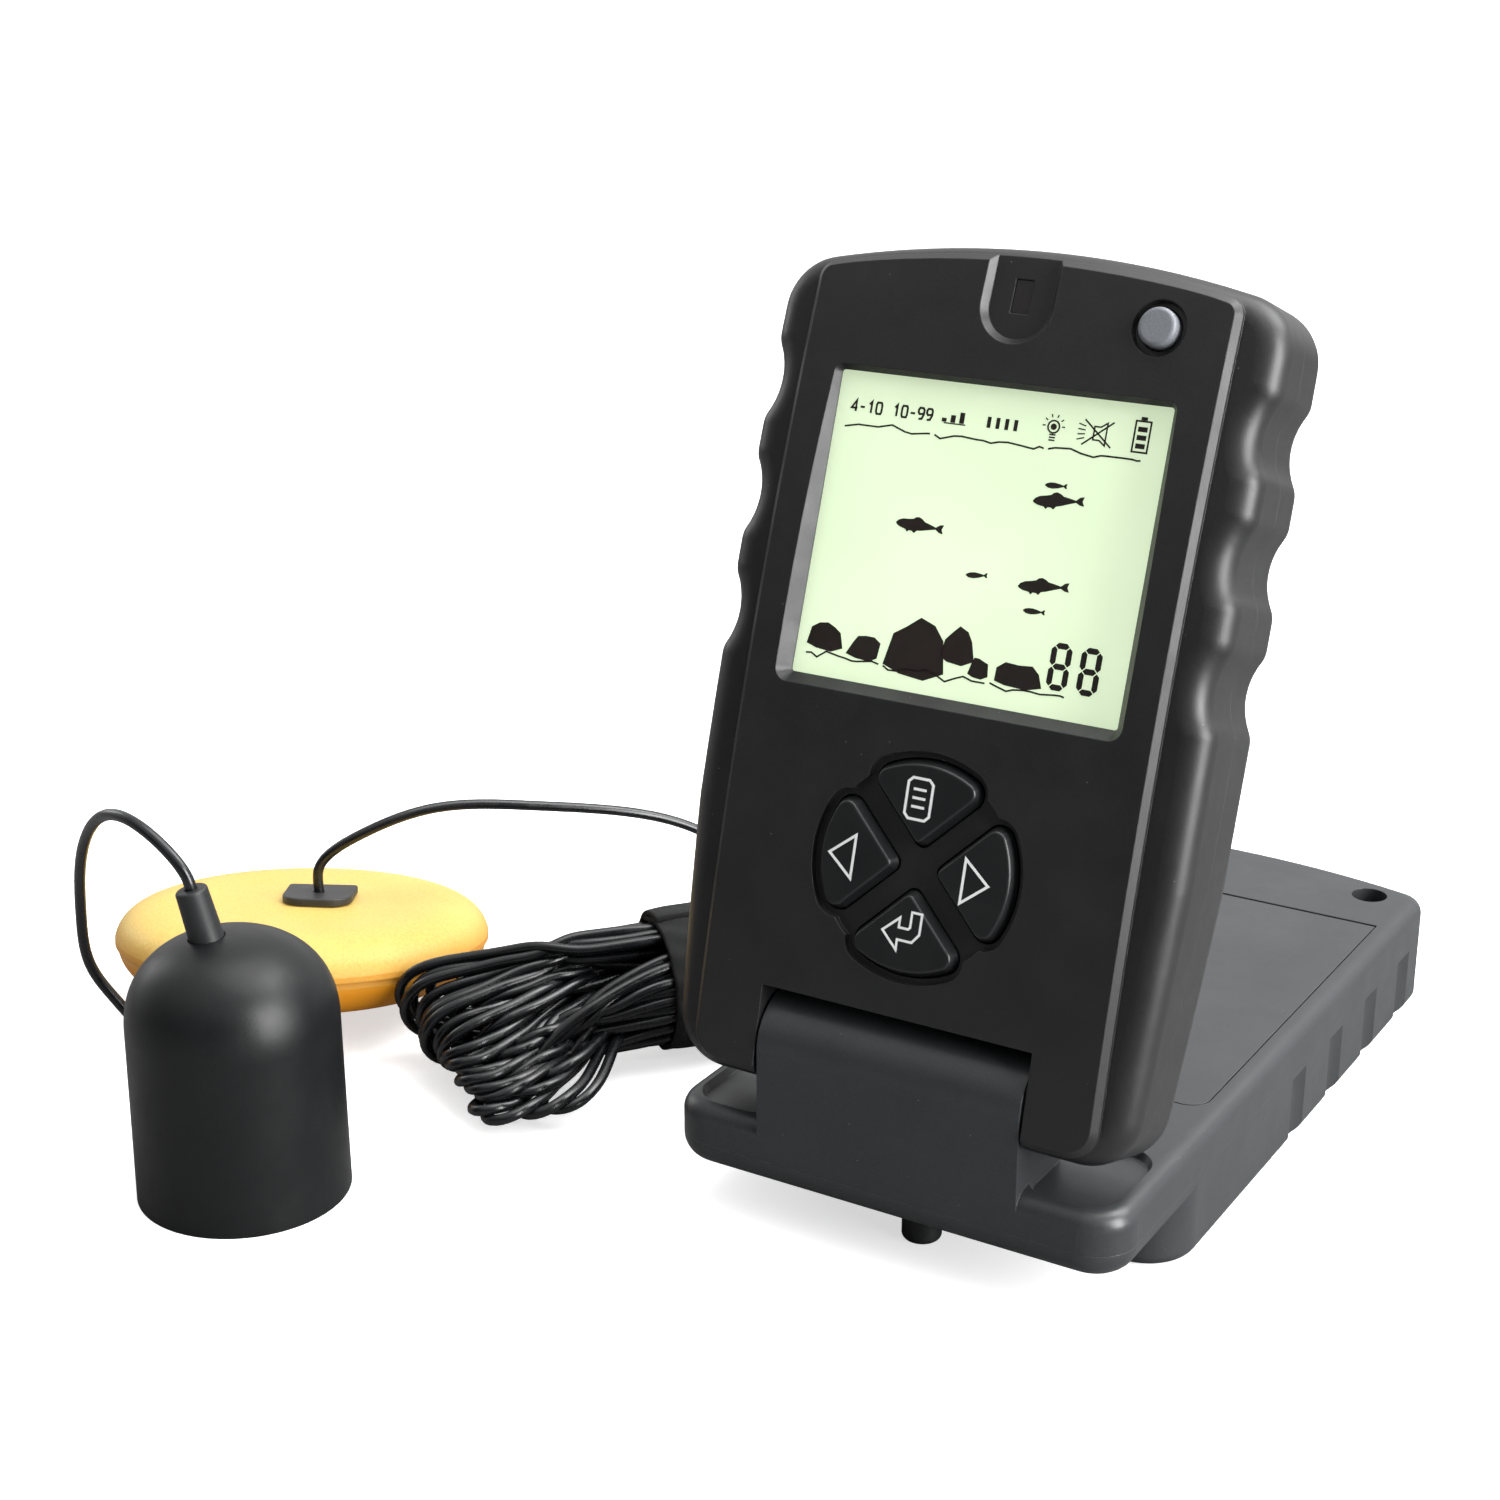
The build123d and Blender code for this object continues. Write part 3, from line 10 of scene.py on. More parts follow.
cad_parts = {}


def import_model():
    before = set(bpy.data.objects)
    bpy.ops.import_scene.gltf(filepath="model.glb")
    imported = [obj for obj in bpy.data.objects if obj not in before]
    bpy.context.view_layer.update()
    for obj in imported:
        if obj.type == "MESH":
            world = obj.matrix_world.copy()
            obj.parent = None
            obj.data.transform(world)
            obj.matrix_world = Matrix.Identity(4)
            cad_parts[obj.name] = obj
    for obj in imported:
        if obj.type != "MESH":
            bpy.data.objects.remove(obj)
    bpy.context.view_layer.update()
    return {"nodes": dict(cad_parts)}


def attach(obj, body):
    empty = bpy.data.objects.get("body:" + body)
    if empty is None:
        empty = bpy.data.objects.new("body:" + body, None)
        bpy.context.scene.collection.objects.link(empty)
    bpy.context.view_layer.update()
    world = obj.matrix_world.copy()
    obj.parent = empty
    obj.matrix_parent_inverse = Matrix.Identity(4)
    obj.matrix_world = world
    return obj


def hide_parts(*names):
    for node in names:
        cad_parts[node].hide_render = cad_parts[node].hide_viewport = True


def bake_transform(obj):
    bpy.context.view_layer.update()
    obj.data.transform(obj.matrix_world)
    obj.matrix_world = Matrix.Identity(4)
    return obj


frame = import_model()
nodes = frame["nodes"]
MM = 0.001

# ------------------------------------------------------------------ frames (millimetres)
HINGE = Vector((0.0, -79.0, 33.4))
LEAN = math.radians(18.8)
V_DIR = Vector((0.0, math.sin(LEAN), math.cos(LEAN)))
W_DIR = Vector((0.0, -math.cos(LEAN), math.sin(LEAN)))
FACE_CREST_V, FACE_CREST_W, FACE_RADIUS = 65.3, 11.0, 655.0


def axes(origin, x_dir, y_dir):
    """Frame in metres whose own units are millimetres."""
    x = Vector(x_dir).normalized()
    z = x.cross(Vector(y_dir)).normalized()
    y = z.cross(x)
    m = Matrix((x, y, z)).transposed().to_4x4()
    m.translation = Vector(origin)
    return Matrix.Scale(MM, 4) @ m


def on_head(u, v, w):
    return HINGE + Vector((u, 0, 0)) + V_DIR * v + W_DIR * w


def face_frame(u, v):
    """Frame that touches the arched face plate at (u, v)."""
    slope = -(v - FACE_CREST_V) / FACE_RADIUS
    w = FACE_CREST_W - (v - FACE_CREST_V) ** 2 / (2 * FACE_RADIUS)
    return axes(on_head(u, v, w), (1, 0, 0), V_DIR + W_DIR * slope)


# ------------------------------------------------------------------ materials
def grey(srgb):
    """Linear RGBA from an sRGB triple of 0-255."""
    out = []
    for value in srgb:
        c = value / 255
        out.append(c / 12.92 if c <= 0.04045 else ((c + 0.055) / 1.055) ** 2.4)
    return (*out, 1.0)


def add(tree, kind, inputs=None, **props):
    node = tree.nodes.new(kind)
    for key, value in props.items():
        setattr(node, key, value)
    for key, value in (inputs or {}).items():
        if isinstance(value, bpy.types.NodeSocket):
            tree.links.new(value, node.inputs[key])
        else:
            node.inputs[key].default_value = value
    return node


def maths(tree, operation, a, b=0.0, clamp=False):
    return add(tree, "ShaderNodeMath", {0: a, 1: b}, operation=operation, use_clamp=clamp).outputs[0]


def span(tree, value, low, high, to_low, to_high):
    return add(tree, "ShaderNodeMapRange", {"Value": value, "From Min": low, "From Max": high,
                                            "To Min": to_low, "To Max": to_high}).outputs[0]


def blend_colour(tree, factor, a, b):
    mix = add(tree, "ShaderNodeMix", data_type="RGBA")
    for index, value in ((0, factor), (6, a), (7, b)):
        if isinstance(value, bpy.types.NodeSocket):
            tree.links.new(value, mix.inputs[index])
        else:
            mix.inputs[index].default_value = value
    return mix.outputs[2]


def cloud(tree, coord, size_mm, detail=3.0, rough=0.55):
    return add(tree, "ShaderNodeTexNoise", {"Vector": coord, "Scale": 1 / (size_mm * MM), "Detail": detail,
                                            "Roughness": rough}).outputs["Fac"]


def moulded(name, dark, light, rough, spread=0.05, grain=0.35, depth=0.02, round_mm=0.25, edge_wear_and_highlight=0.0,
            spark=0.0, specular=0.5, coat=0.0, metallic=0.0, patch=22.0, transmission=0.0, sheen=0.0):
    """Moulded surface: drifting colour, fine grain bump, rounded edges lightened partly as wear and partly as painted
    highlight.
    """
    m = bpy.data.materials.new(name)
    m.use_nodes = True
    tree = m.node_tree
    tree.nodes.clear()
    coord = add(tree, "ShaderNodeTexCoord").outputs["Object"]
    broad = cloud(tree, coord, patch, 4.0)
    fine = cloud(tree, coord, grain, 2.0)
    colour = blend_colour(tree, span(tree, broad, 0.3, 0.7, 0.0, 1.0), grey(dark), grey(light))
    flecked = blend_colour(tree, span(tree, fine, 0.35, 0.75, 0.0, 0.22), colour, grey([min(255, c * 1.35 + 6) for c in light]))
    geometry = add(tree, "ShaderNodeNewGeometry")
    bevel = add(tree, "ShaderNodeBevel", {"Radius": round_mm * MM}, samples=4).outputs["Normal"]
    # Edge mask lightens the colour: partly wear, partly a painted edge highlight.
    if edge_wear_and_highlight > 0:
        dot = add(tree, "ShaderNodeVectorMath", {0: bevel, 1: geometry.outputs["Normal"]}, operation="DOT_PRODUCT")
        edge = span(tree, dot.outputs["Value"], 1.0, 0.86, 0.0, 1.0)
        broken = span(tree, cloud(tree, coord, 3.0, 5.0), 0.35, 0.7, 0.15, 1.0)
        amount = maths(tree, "MULTIPLY", maths(tree, "MULTIPLY", edge, broken), edge_wear_and_highlight)
        flecked = blend_colour(tree, amount, flecked, grey([min(255, c * 1.9 + 34) for c in light]))
    if spark > 0:
        cell = add(tree, "ShaderNodeTexVoronoi", {"Vector": coord, "Scale": 1 / (1.5 * MM)})
        near = span(tree, cell.outputs["Distance"], 0.03, 0.06, 1.0, 0.0)
        rare = add(tree, "ShaderNodeSeparateColor", {0: cell.outputs["Color"]}).outputs[0]
        chosen = maths(tree, "GREATER_THAN", rare, 0.90)
        amount = maths(tree, "MULTIPLY", maths(tree, "MULTIPLY", near, chosen), spark)
        flecked = blend_colour(tree, amount, flecked, (0.75, 0.75, 0.74, 1.0))
    roughness = span(tree, cloud(tree, coord, patch * 0.35, 4.0), 0.3, 0.7, rough - spread, rough + spread)
    bump = add(tree, "ShaderNodeBump", {"Strength": 1.0, "Distance": depth * MM, "Height": fine, "Normal": bevel})
    shader = add(tree, "ShaderNodeBsdfPrincipled", {
        "Base Color": flecked, "Roughness": roughness, "Normal": bump.outputs[0], "Metallic": metallic,
        "Specular IOR Level": specular, "Coat Weight": coat, "Coat Roughness": 0.12, "Sheen Weight": sheen,
        "Transmission Weight": transmission})
    out = add(tree, "ShaderNodeOutputMaterial", {"Surface": shader.outputs[0]})
    m.diffuse_color = grey(light)
    return m, tree, shader, out


def float_with_painted_shade_and_glow(name):
    """Hollow yellow float: bright on top, painted shade of deeper orange where the wall turns under, and a faint
    painted glow.
    """
    m, tree, shader, _ = moulded(name, (199, 163, 84), (205, 171, 95), 0.42, 0.04, 0.5, 0.008, 0.4, 0.0,
                                 specular=0.2, patch=30.0)
    geometry = add(tree, "ShaderNodeNewGeometry")
    z = add(tree, "ShaderNodeSeparateXYZ", {0: geometry.outputs["Normal"]}).outputs[2]
    # Painted shade: surfaces that face downward are mixed towards a deeper orange.
    painted_underside_shade = span(tree, z, 0.75, -0.25, 0.0, 1.0)
    old = shader.inputs["Base Color"].links[0].from_socket
    new = blend_colour(tree, painted_underside_shade, old, grey((226, 146, 34)))
    tree.links.new(new, shader.inputs["Base Color"])
    # Faint emission is a painted glow that keeps the float bright where light does not reach.
    tree.links.new(new, shader.inputs["Emission Color"])
    shader.inputs["Emission Strength"].default_value = 0.08
    shader.inputs["Subsurface Weight"].default_value = 0.12
    shader.inputs["Subsurface Radius"].default_value = (0.004, 0.002, 0.0005)
    return m


def clear_cover(name):
    """Thin clear sheet: lets light straight through and mirrors a little at its surface."""
    m = bpy.data.materials.new(name)
    m.use_nodes = True
    tree = m.node_tree
    tree.nodes.clear()
    coord = add(tree, "ShaderNodeTexCoord").outputs["Object"]
    smear = span(tree, cloud(tree, coord, 9.0, 5.0), 0.35, 0.75, 0.03, 0.09)
    fresnel = add(tree, "ShaderNodeFresnel", {"IOR": 1.45}).outputs[0]
    outside = maths(tree, "SUBTRACT", 1.0, add(tree, "ShaderNodeNewGeometry").outputs["Backfacing"])
    mirror = maths(tree, "MULTIPLY", fresnel, outside)
    clear = add(tree, "ShaderNodeBsdfTransparent", {"Color": (0.985, 0.99, 0.985, 1)})
    gloss = add(tree, "ShaderNodeBsdfGlossy", {"Roughness": smear})
    mix = add(tree, "ShaderNodeMixShader", {0: mirror, 1: clear.outputs[0], 2: gloss.outputs[0]})
    add(tree, "ShaderNodeOutputMaterial", {"Surface": mix.outputs[0]})
    return m


def display(name):
    """Reflective display glass: pale green with a barely visible cell grid, brightened by a painted glow."""
    m = bpy.data.materials.new(name)
    m.use_nodes = True
    tree = m.node_tree
    tree.nodes.clear()
    coord = add(tree, "ShaderNodeTexCoord").outputs["Object"]
    drift = span(tree, cloud(tree, coord, 26.0, 2.0), 0.3, 0.7, 0.0, 1.0)
    base = blend_colour(tree, drift, grey((200, 216, 184)), grey((208, 222, 192)))
    fine = span(tree, cloud(tree, coord, 0.25, 1.0), 0.3, 0.7, 0.0, 0.05)
    base = blend_colour(tree, fine, base, grey((176, 194, 164)))
    # Emission is a painted glow that keeps the reflective display bright whatever the light.
    shader = add(tree, "ShaderNodeBsdfPrincipled", {"Base Color": base, "Roughness": 0.42,
                                                    "Specular IOR Level": 0.25,
                                                    "Emission Color": base, "Emission Strength": 0.84})
    add(tree, "ShaderNodeOutputMaterial", {"Surface": shader.outputs[0]})
    return m


def woven(name):
    """Hook-and-loop webbing: short ribs of pile over a woven ground."""
    m, tree, shader, _ = moulded(name, (7, 8, 8), (12, 13, 14), 0.9, 0.06, 0.22, 0.05, 0.2, 0.0,
                                 specular=0.12, patch=6.0, sheen=0.12)
    coord = add(tree, "ShaderNodeTexCoord").outputs["UV"]
    warp = add(tree, "ShaderNodeTexWave", {"Vector": coord, "Scale": 46.0, "Distortion": 1.2, "Detail": 2.0},
               bands_direction="X").outputs["Fac"]
    weft = add(tree, "ShaderNodeTexWave", {"Vector": coord, "Scale": 30.0, "Distortion": 1.6, "Detail": 2.0},
               bands_direction="Y").outputs["Fac"]
    height = maths(tree, "ADD", warp, maths(tree, "MULTIPLY", weft, 0.6))
    bump = add(tree, "ShaderNodeBump", {"Strength": 0.9, "Distance": 0.12 * MM, "Height": height,
                                        "Normal": shader.inputs["Normal"].links[0].from_socket})
    tree.links.new(bump.outputs[0], shader.inputs["Normal"])
    return m


def jacket(name):
    """Extruded cable jacket: smooth and slightly waxy."""
    m, tree, shader, _ = moulded(name, (11, 12, 14), (17, 18, 20), 0.27, 0.06, 1.2, 0.02, 0.05, 0.0,
                                 specular=0.55, patch=9.0)
    return m


satin = dict(grain=0.28, depth=0.014, edge_wear_and_highlight=0.22, spark=0.32)
deep = dict(grain=0.28, depth=0.012, edge_wear_and_highlight=0.16)
MATERIALS = {
    "base_plastic": moulded("base_plastic", (41, 43, 45), (48, 50, 52), 0.38, **satin)[0],
    "head_plastic": moulded("head_plastic", (24, 24, 25), (29, 29, 30), 0.42, **satin)[0],
    "key_plastic": moulded("key_plastic", (20, 21, 22), (25, 26, 27), 0.34, grain=0.3, depth=0.010, edge_wear_and_highlight=0.2)[0],
    "door_plastic": moulded("door_plastic", (42, 43, 45), (50, 51, 53), 0.38, **satin)[0],
    "reset_grey": moulded("reset_grey", (104, 107, 112), (118, 121, 126), 0.42, grain=0.3, depth=0.01)[0],
    "inner_plastic": moulded("inner_plastic", (60, 61, 60), (72, 73, 72), 0.6)[0],
    "sonar_plastic": moulded("sonar_plastic", (12, 13, 14), (16, 17, 18), 0.40, specular=0.34, **deep)[0],
    "rubber": moulded("rubber", (22, 23, 24), (30, 31, 32), 0.5, grain=0.3, depth=0.02)[0],
    "board": moulded("board", (22, 78, 46), (30, 96, 58), 0.45, grain=0.6, depth=0.02)[0],
    "steel": moulded("steel", (160, 160, 158), (190, 190, 188), 0.28, grain=0.15, depth=0.006, metallic=1.0)[0],
    "blackened_steel": moulded("blackened_steel", (38, 38, 40), (58, 58, 60), 0.34, metallic=0.85)[0],
    "cell_wrap": moulded("cell_wrap", (40, 74, 130), (52, 90, 150), 0.34, grain=1.0, depth=0.006)[0],
    "amber": moulded("amber", (232, 120, 20), (248, 146, 40), 0.2, grain=1.0, depth=0.003, transmission=0.3)[0],
    "lamp_lens": moulded("lamp_lens", (18, 16, 17), (26, 22, 23), 0.16, grain=1.0, depth=0.004, coat=0.4)[0],
    "ceramic": moulded("ceramic", (206, 200, 186), (222, 216, 204), 0.5)[0],
    "resin": moulded("resin", (22, 22, 24), (30, 30, 33), 0.25)[0],
    "float_yellow": float_with_painted_shade_and_glow("float_yellow"),
    "stopper": moulded("stopper", (34, 34, 34), (44, 44, 44), 0.5, grain=0.3, depth=0.015, edge_wear_and_highlight=0.2)[0],
    "clear": clear_cover("clear"),
    "lcd": display("lcd"),
    "lcd_ink": moulded("lcd_ink", (30, 21, 19), (36, 26, 23), 0.5, grain=0.3, depth=0.002, round_mm=0.01)[0],
    "print_white": moulded("print_white", (226, 228, 228), (240, 241, 240), 0.5, grain=0.2, depth=0.004,
                           round_mm=0.01)[0],
    "strap": woven("strap"),
    "cable": jacket("cable"),
    "foil": moulded("foil", (196, 198, 200), (214, 216, 218), 0.3, metallic=0.6)[0],
}

NODE_LOOKS = {
    "base_top_cover": "base_plastic", "base_bottom_cover": "base_plastic", "front_foot": "rubber",
    "contact_plates": "steel", "contact_springs": "steel", "jack_socket": "inner_plastic",
    "jack_board": "board", "base_screws": "blackened_steel", "battery_cell_1": "cell_wrap",
    "battery_cell_2": "cell_wrap", "battery_cell_3": "cell_wrap", "battery_cell_4": "cell_wrap",
    "float_upper": "float_yellow", "float_lower": "float_yellow", "head_front_cover": "head_plastic",
    "head_rear_cover": "head_plastic", "window_lens": "clear", "lcd_glass": "lcd", "lcd_frame": "inner_plastic",
    "backlight_panel": "foil", "main_board": "board", "tact_switches": "inner_plastic", "buzzer": "resin",
    "alarm_lamp": "amber", "lamp_window": "lamp_lens", "head_screws": "blackened_steel", "hinge_pin": "steel",
    "hinge_washers": "steel", "key_menu": "key_plastic", "key_left": "key_plastic", "key_right": "key_plastic",
    "key_enter": "key_plastic", "reset_button": "reset_grey", "battery_door": "door_plastic", "plug": "rubber",
    "float_stopper": "stopper", "transducer_housing": "sonar_plastic", "transducer_boot": "rubber",
    "transducer_face": "sonar_plastic", "piezo_disc": "ceramic", "potting_plug": "resin",
}
for name, look in NODE_LOOKS.items():
    mesh = nodes[name].data
    mesh.materials.clear()
    mesh.materials.append(MATERIALS[look])


def dress(obj, look, body=None):
    obj.data.materials.clear()
    obj.data.materials.append(MATERIALS[look])
    if body:
        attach(obj, body)
    return obj


# ------------------------------------------------------------------ printed shapes
def fill(points):
    area = sum(a[0] * b[1] - b[0] * a[1] for a, b in zip(points, points[1:] + points[:1]))
    return ("fill", points if area > 0 else points[::-1])


def line(points, width=0.28, closed=False):
    return ("line", points, width, closed)


def rails(points, width, closed):
    """Left and right edges of a mitred line."""
    left, right = [], []
    count = len(points)
    for i, point in enumerate(points):
        here = Vector(point)
        before = Vector(points[i - 1]) if i > 0 or closed else None
        after = Vector(points[(i + 1) % count]) if i < count - 1 or closed else None
        d0 = (here - before).normalized() if before is not None else (after - here).normalized()
        d1 = (after - here).normalized() if after is not None else d0
        side = Vector((-(d0 + d1).y, (d0 + d1).x))
        side = side.normalized() if side.length > 1e-6 else Vector((-d0.y, d0.x))
        reach = width / 2 / max(0.35, side.dot(Vector((-d0.y, d0.x))))
        left.append(here + side * reach)
        right.append(here - side * reach)
    return left, right


def printed(name, place, shapes, low, high, look, body):
    """Thin raised print: every shape is a closed solid between the heights low and high."""
    bm = bmesh.new()

    def at(p, height):
        return bm.verts.new(place @ Vector((p[0], p[1], height)))

    for shape in shapes:
        if shape[0] == "fill":
            bottom = [at(p, low) for p in shape[1]]
            top = [at(p, high) for p in shape[1]]
            bm.faces.new(top)
            bm.faces.new(bottom[::-1])
            for i in range(len(top)):
                j = (i + 1) % len(top)
                bm.faces.new((bottom[i], bottom[j], top[j], top[i]))
            continue
        left, right = rails(shape[1], shape[2], shape[3])
        rings = [(at(a, low), at(b, low), at(b, high), at(a, high)) for a, b in zip(left, right)]
        pairs = list(zip(rings, rings[1:] + rings[:1])) if shape[3] else list(zip(rings, rings[1:]))
        for one, two in pairs:
            for k in range(4):
                m = (k + 1) % 4
                bm.faces.new((one[k], one[m], two[m], two[k]))
        if not shape[3]:
            bm.faces.new(rings[0][::-1])
            bm.faces.new(rings[-1])
    bmesh.ops.recalc_face_normals(bm, faces=bm.faces)
    bmesh.ops.triangulate(bm, faces=[f for f in bm.faces if len(f.verts) > 4])
    mesh = bpy.data.meshes.new(name)
    bm.to_mesh(mesh)
    bm.free()
    obj = bpy.data.objects.new(name, mesh)
    bpy.context.scene.collection.objects.link(obj)
    return dress(obj, look, body)


# ------------------------------------------------------------------ display picture
SCREEN_W, SCREEN_H = 54.4, 47.0
SCREEN = axes(on_head(-0.5 - SCREEN_W / 2, 81.7 - SCREEN_H / 2, 7.0), (1, 0, 0), V_DIR)

FISH = [(0, 0.0), (0.05, 0.055), (0.14, 0.09), (0.27, 0.1), (0.36, 0.115), (0.4, 0.15), (0.47, 0.16),
        (0.54, 0.13), (0.6, 0.085), (0.72, 0.055), (0.84, 0.018), (0.92, 0.075), (1.0, 0.085), (0.965, 0.0),
        (1.0, -0.085), (0.92, -0.07), (0.84, -0.02), (0.72, -0.045), (0.55, -0.085), (0.46, -0.095),
        (0.41, -0.15), (0.36, -0.115), (0.3, -0.11), (0.26, -0.145), (0.22, -0.1), (0.1, -0.07), (0.03, -0.035)]
MINNOW = [(0, 0.0), (0.08, 0.075), (0.25, 0.12), (0.45, 0.12), (0.65, 0.08), (0.84, 0.03), (0.93, 0.1),
          (1.0, 0.1), (0.96, 0.0), (1.0, -0.1), (0.93, -0.1), (0.84, -0.03), (0.6, -0.1), (0.35, -0.13),
          (0.15, -0.1)]


def tilted(points, x, y, length, angle):
    c, s = math.cos(math.radians(angle)) * length, math.sin(math.radians(angle)) * length
    return fill([(x + px * c - py * s, y + px * s + py * c) for px, py in points])


def arc_points(cx, cy, r, start, stop, count):
    angles = [math.radians(start + (stop - start) * i / (count - 1)) for i in range(count)]
    return [(cx + r * math.cos(a), cy + r * math.sin(a)) for a in angles]


def seven(x, y, w, h, t):
    """All seven bars of one digit."""
    gap = 0.12
    bars = []
    for level in (0, 1, 2):
        cy = y + t / 2 + (h - t) * level / 2
        a, b = x + t / 2 + gap, x + w - t / 2 - gap
        bars.append([(a, cy), (a + t / 2, cy - t / 2), (b - t / 2, cy - t / 2), (b, cy), (b - t / 2, cy + t / 2),
                     (a + t / 2, cy + t / 2)])
    for side in (0, 1):
        for level in (0, 1):
            cx = x + t / 2 + (w - t) * side
            a = y + t / 2 + (h - t) * level / 2 + gap
            b = a + (h - t) / 2 - 2 * gap
            bars.append([(cx, a), (cx + t / 2, a + t / 2), (cx + t / 2, b - t / 2), (cx, b), (cx - t / 2, b - t / 2),
                         (cx - t / 2, a + t / 2)])
    return [fill(bar) for bar in bars]


DIGITS = {"0": ([(0.15, 0), (0.85, 0), (1, 0.2), (1, 0.8), (0.85, 1), (0.15, 1), (0, 0.8), (0, 0.2)], True),
          "1": ([(0.2, 0.75), (0.6, 1), (0.6, 0)], False),
          "4": ([(0.8, 0), (0.8, 1), (0, 0.3), (1.05, 0.3)], False),
          "9": ([(0.15, 0.02), (0.7, 0.05), (1, 0.45), (1, 0.85), (0.8, 1), (0.2, 1), (0, 0.82), (0, 0.62),
                 (0.2, 0.45), (0.95, 0.5)], False),
          "-": ([(0.1, 0.45), (0.9, 0.45)], False)}


def numerals(text, x, y, w, h, pitch):
    out = []
    for i, mark in enumerate(text):
        points, closed = DIGITS[mark]
        out.append(line([(x + i * pitch + px * w, y + py * h) for px, py in points], 0.34, closed))
    return out


def rock(x, y, width, height):
    """Boulder: uneven corners on an arch over a short foot."""
    rng = random.Random(x)
    corners = []
    for k in range(7):
        a = math.pi * k / 6
        uneven = rng.uniform(0.84, 1.08)
        corners.append((x + width / 2 * math.cos(a) * uneven, y + height * abs(math.sin(a)) ** 0.6 * uneven))
    return fill(corners + [(x - width * 0.22, y - height * 0.14), (x + width * 0.2, y - height * 0.2)])


def broken_line(start, stop, y, rise):
    """Uneven line of short straight runs, as bed and surface are drawn on such displays."""
    rng = random.Random(start + y)
    points = []
    x = start
    while x < stop - 0.5:
        points.append((x, y + rise * rng.uniform(-1, 1) ** 3))
        x += rng.uniform(0.8, 2.6)
    return line(points + [(stop, y)], 0.28)


# x, y of the foot, width, height
ROCKS = ((4.1, 4.4, 6.4, 4.0), (11.1, 3.8, 5.8, 3.4), (20.0, 3.2, 10.0, 7.6), (26.8, 5.9, 6.0, 4.8),
         (30.9, 4.0, 3.4, 2.8), (37.5, 3.7, 8.6, 3.2))
BED_Y, WATER_Y = 3.0, 39.4
screen = []
for x, y, length, angle in ((12.8, 25.2, 8.3, -1), (35.0, 31.4, 8.4, 6), (35.0, 18.4, 8.4, 6)):
    screen.append(tilted(FISH, x, y, length, angle))
for x, y, length, angle in ((36.5, 34.0, 3.7, 3), (26.1, 18.8, 3.7, 6), (36.5, 14.9, 3.7, 2)):
    screen.append(tilted(MINNOW, x, y, length, angle))
for x, y, width, height in ROCKS:
    screen.append(rock(x, y, width, height))
for start, stop in ((1.0, 14.0), (14.8, 32.4), (33.2, 45.6)):
    screen.append(broken_line(start, stop, BED_Y, 0.9))
for start, stop in ((1.0, 16.0), (16.8, 35.3), (36.0, 51.0)):
    screen.append(broken_line(start, stop, WATER_Y, 0.8))
screen += seven(42.3, 3.8, 3.4, 7.2, 0.92) + seven(47.2, 3.8, 3.4, 7.2, 0.92)
screen += numerals("4-10", 1.7, 41.4, 0.95, 1.75, 1.45) + numerals("10-99", 9.1, 41.4, 0.95, 1.75, 1.45)
for i in range(3):
    screen.append(line([(18.0 + i * 1.5, 41.5), (18.0 + i * 1.5, 42.1 + i * 0.55)], 0.8))
screen.append(line([(18.0, 41.35), (21.7, 41.35)], 0.2))
for i in range(4):
    screen.append(line([(25.6 + i * 1.5, 41.4), (25.6 + i * 1.5, 43.1)], 0.62))
# bulb
screen.append(line(arc_points(36.3, 42.8, 0.95, 300, -120, 15), 0.26))
screen.append(fill(arc_points(36.3, 42.8, 0.5, 0, 330, 12)))
for i in range(3):
    screen.append(line([(35.8, 41.6 - i * 0.42), (36.8, 41.6 - i * 0.42)], 0.24))
for angle in (0, 36, 72, 108, 144, 180):
    a = math.radians(angle)
    screen.append(line([(36.3 + 1.35 * math.cos(a), 42.9 + 1.35 * math.sin(a)),
                        (36.3 + 1.85 * math.cos(a), 42.9 + 1.85 * math.sin(a))], 0.2))
# silenced speaker
screen.append(line([(43.9, 41.6), (42.9, 41.6), (42.9, 43.6), (43.9, 43.6), (44.9, 44.3), (44.9, 40.9)], 0.24, True))
screen.append(line([(41.2, 40.7), (45.9, 44.5)], 0.26))
screen.append(line([(41.2, 44.5), (45.9, 40.7)], 0.26))
for i in range(4):
    screen.append(line([(40.3, 43.8 - i * 0.8), (41.5, 43.5 - i * 0.58)], 0.2))
# battery
screen.append(line([(49.3, 40.6), (51.7, 40.6), (51.7, 45.2), (49.3, 45.2)], 0.28, True))
screen.append(line([(50.0, 45.6), (51.0, 45.6)], 0.5))
for i in range(3):
    screen.append(line([(49.75, 41.5 + i * 1.25), (51.25, 41.5 + i * 1.25)], 0.75))
printed("lcd_picture", SCREEN, screen, -0.02, 0.05, "lcd_ink", "head")

# ------------------------------------------------------------------ key prints
PAD_V, KEY_RISE = 31.6, 0.6
PAD = face_frame(0, PAD_V)
KEY_PRINTS = {
    "menu_key": [line([(-2.2, 7.5), (0.6, 7.5), (1.3, 8.2), (1.3, 13.1), (0.6, 13.8), (-2.2, 13.8), (-2.9, 13.1),
                       (-2.9, 8.2)], 0.42, True),
                 line([(-1.9, 12.1), (0.3, 12.1)], 0.42), line([(-1.9, 10.75), (0.3, 10.75)], 0.42),
                 line([(-1.9, 9.4), (0.3, 9.4)], 0.42)],
    "left_key": [line([(-14.6, -0.2), (-10.4, 3.2), (-10.4, -3.6)], 0.42, True)],
    "right_key": [line([(12.7, -0.2), (8.5, 3.2), (8.5, -3.6)], 0.42, True)],
    "enter_key": [line([(2.7, -6.6), (2.7, -9.8), (1.6, -11.2), (-0.9, -11.2), (-0.9, -12.8), (-3.6, -10.2),
                        (-0.9, -7.8), (-0.9, -9.3), (0.7, -9.3), (1.0, -9.0), (1.0, -6.6)], 0.38, True)],
}
for body, shapes in KEY_PRINTS.items():
    printed("print_" + body, PAD, shapes, KEY_RISE - 0.03, KEY_RISE + 0.04, "print_white", body)


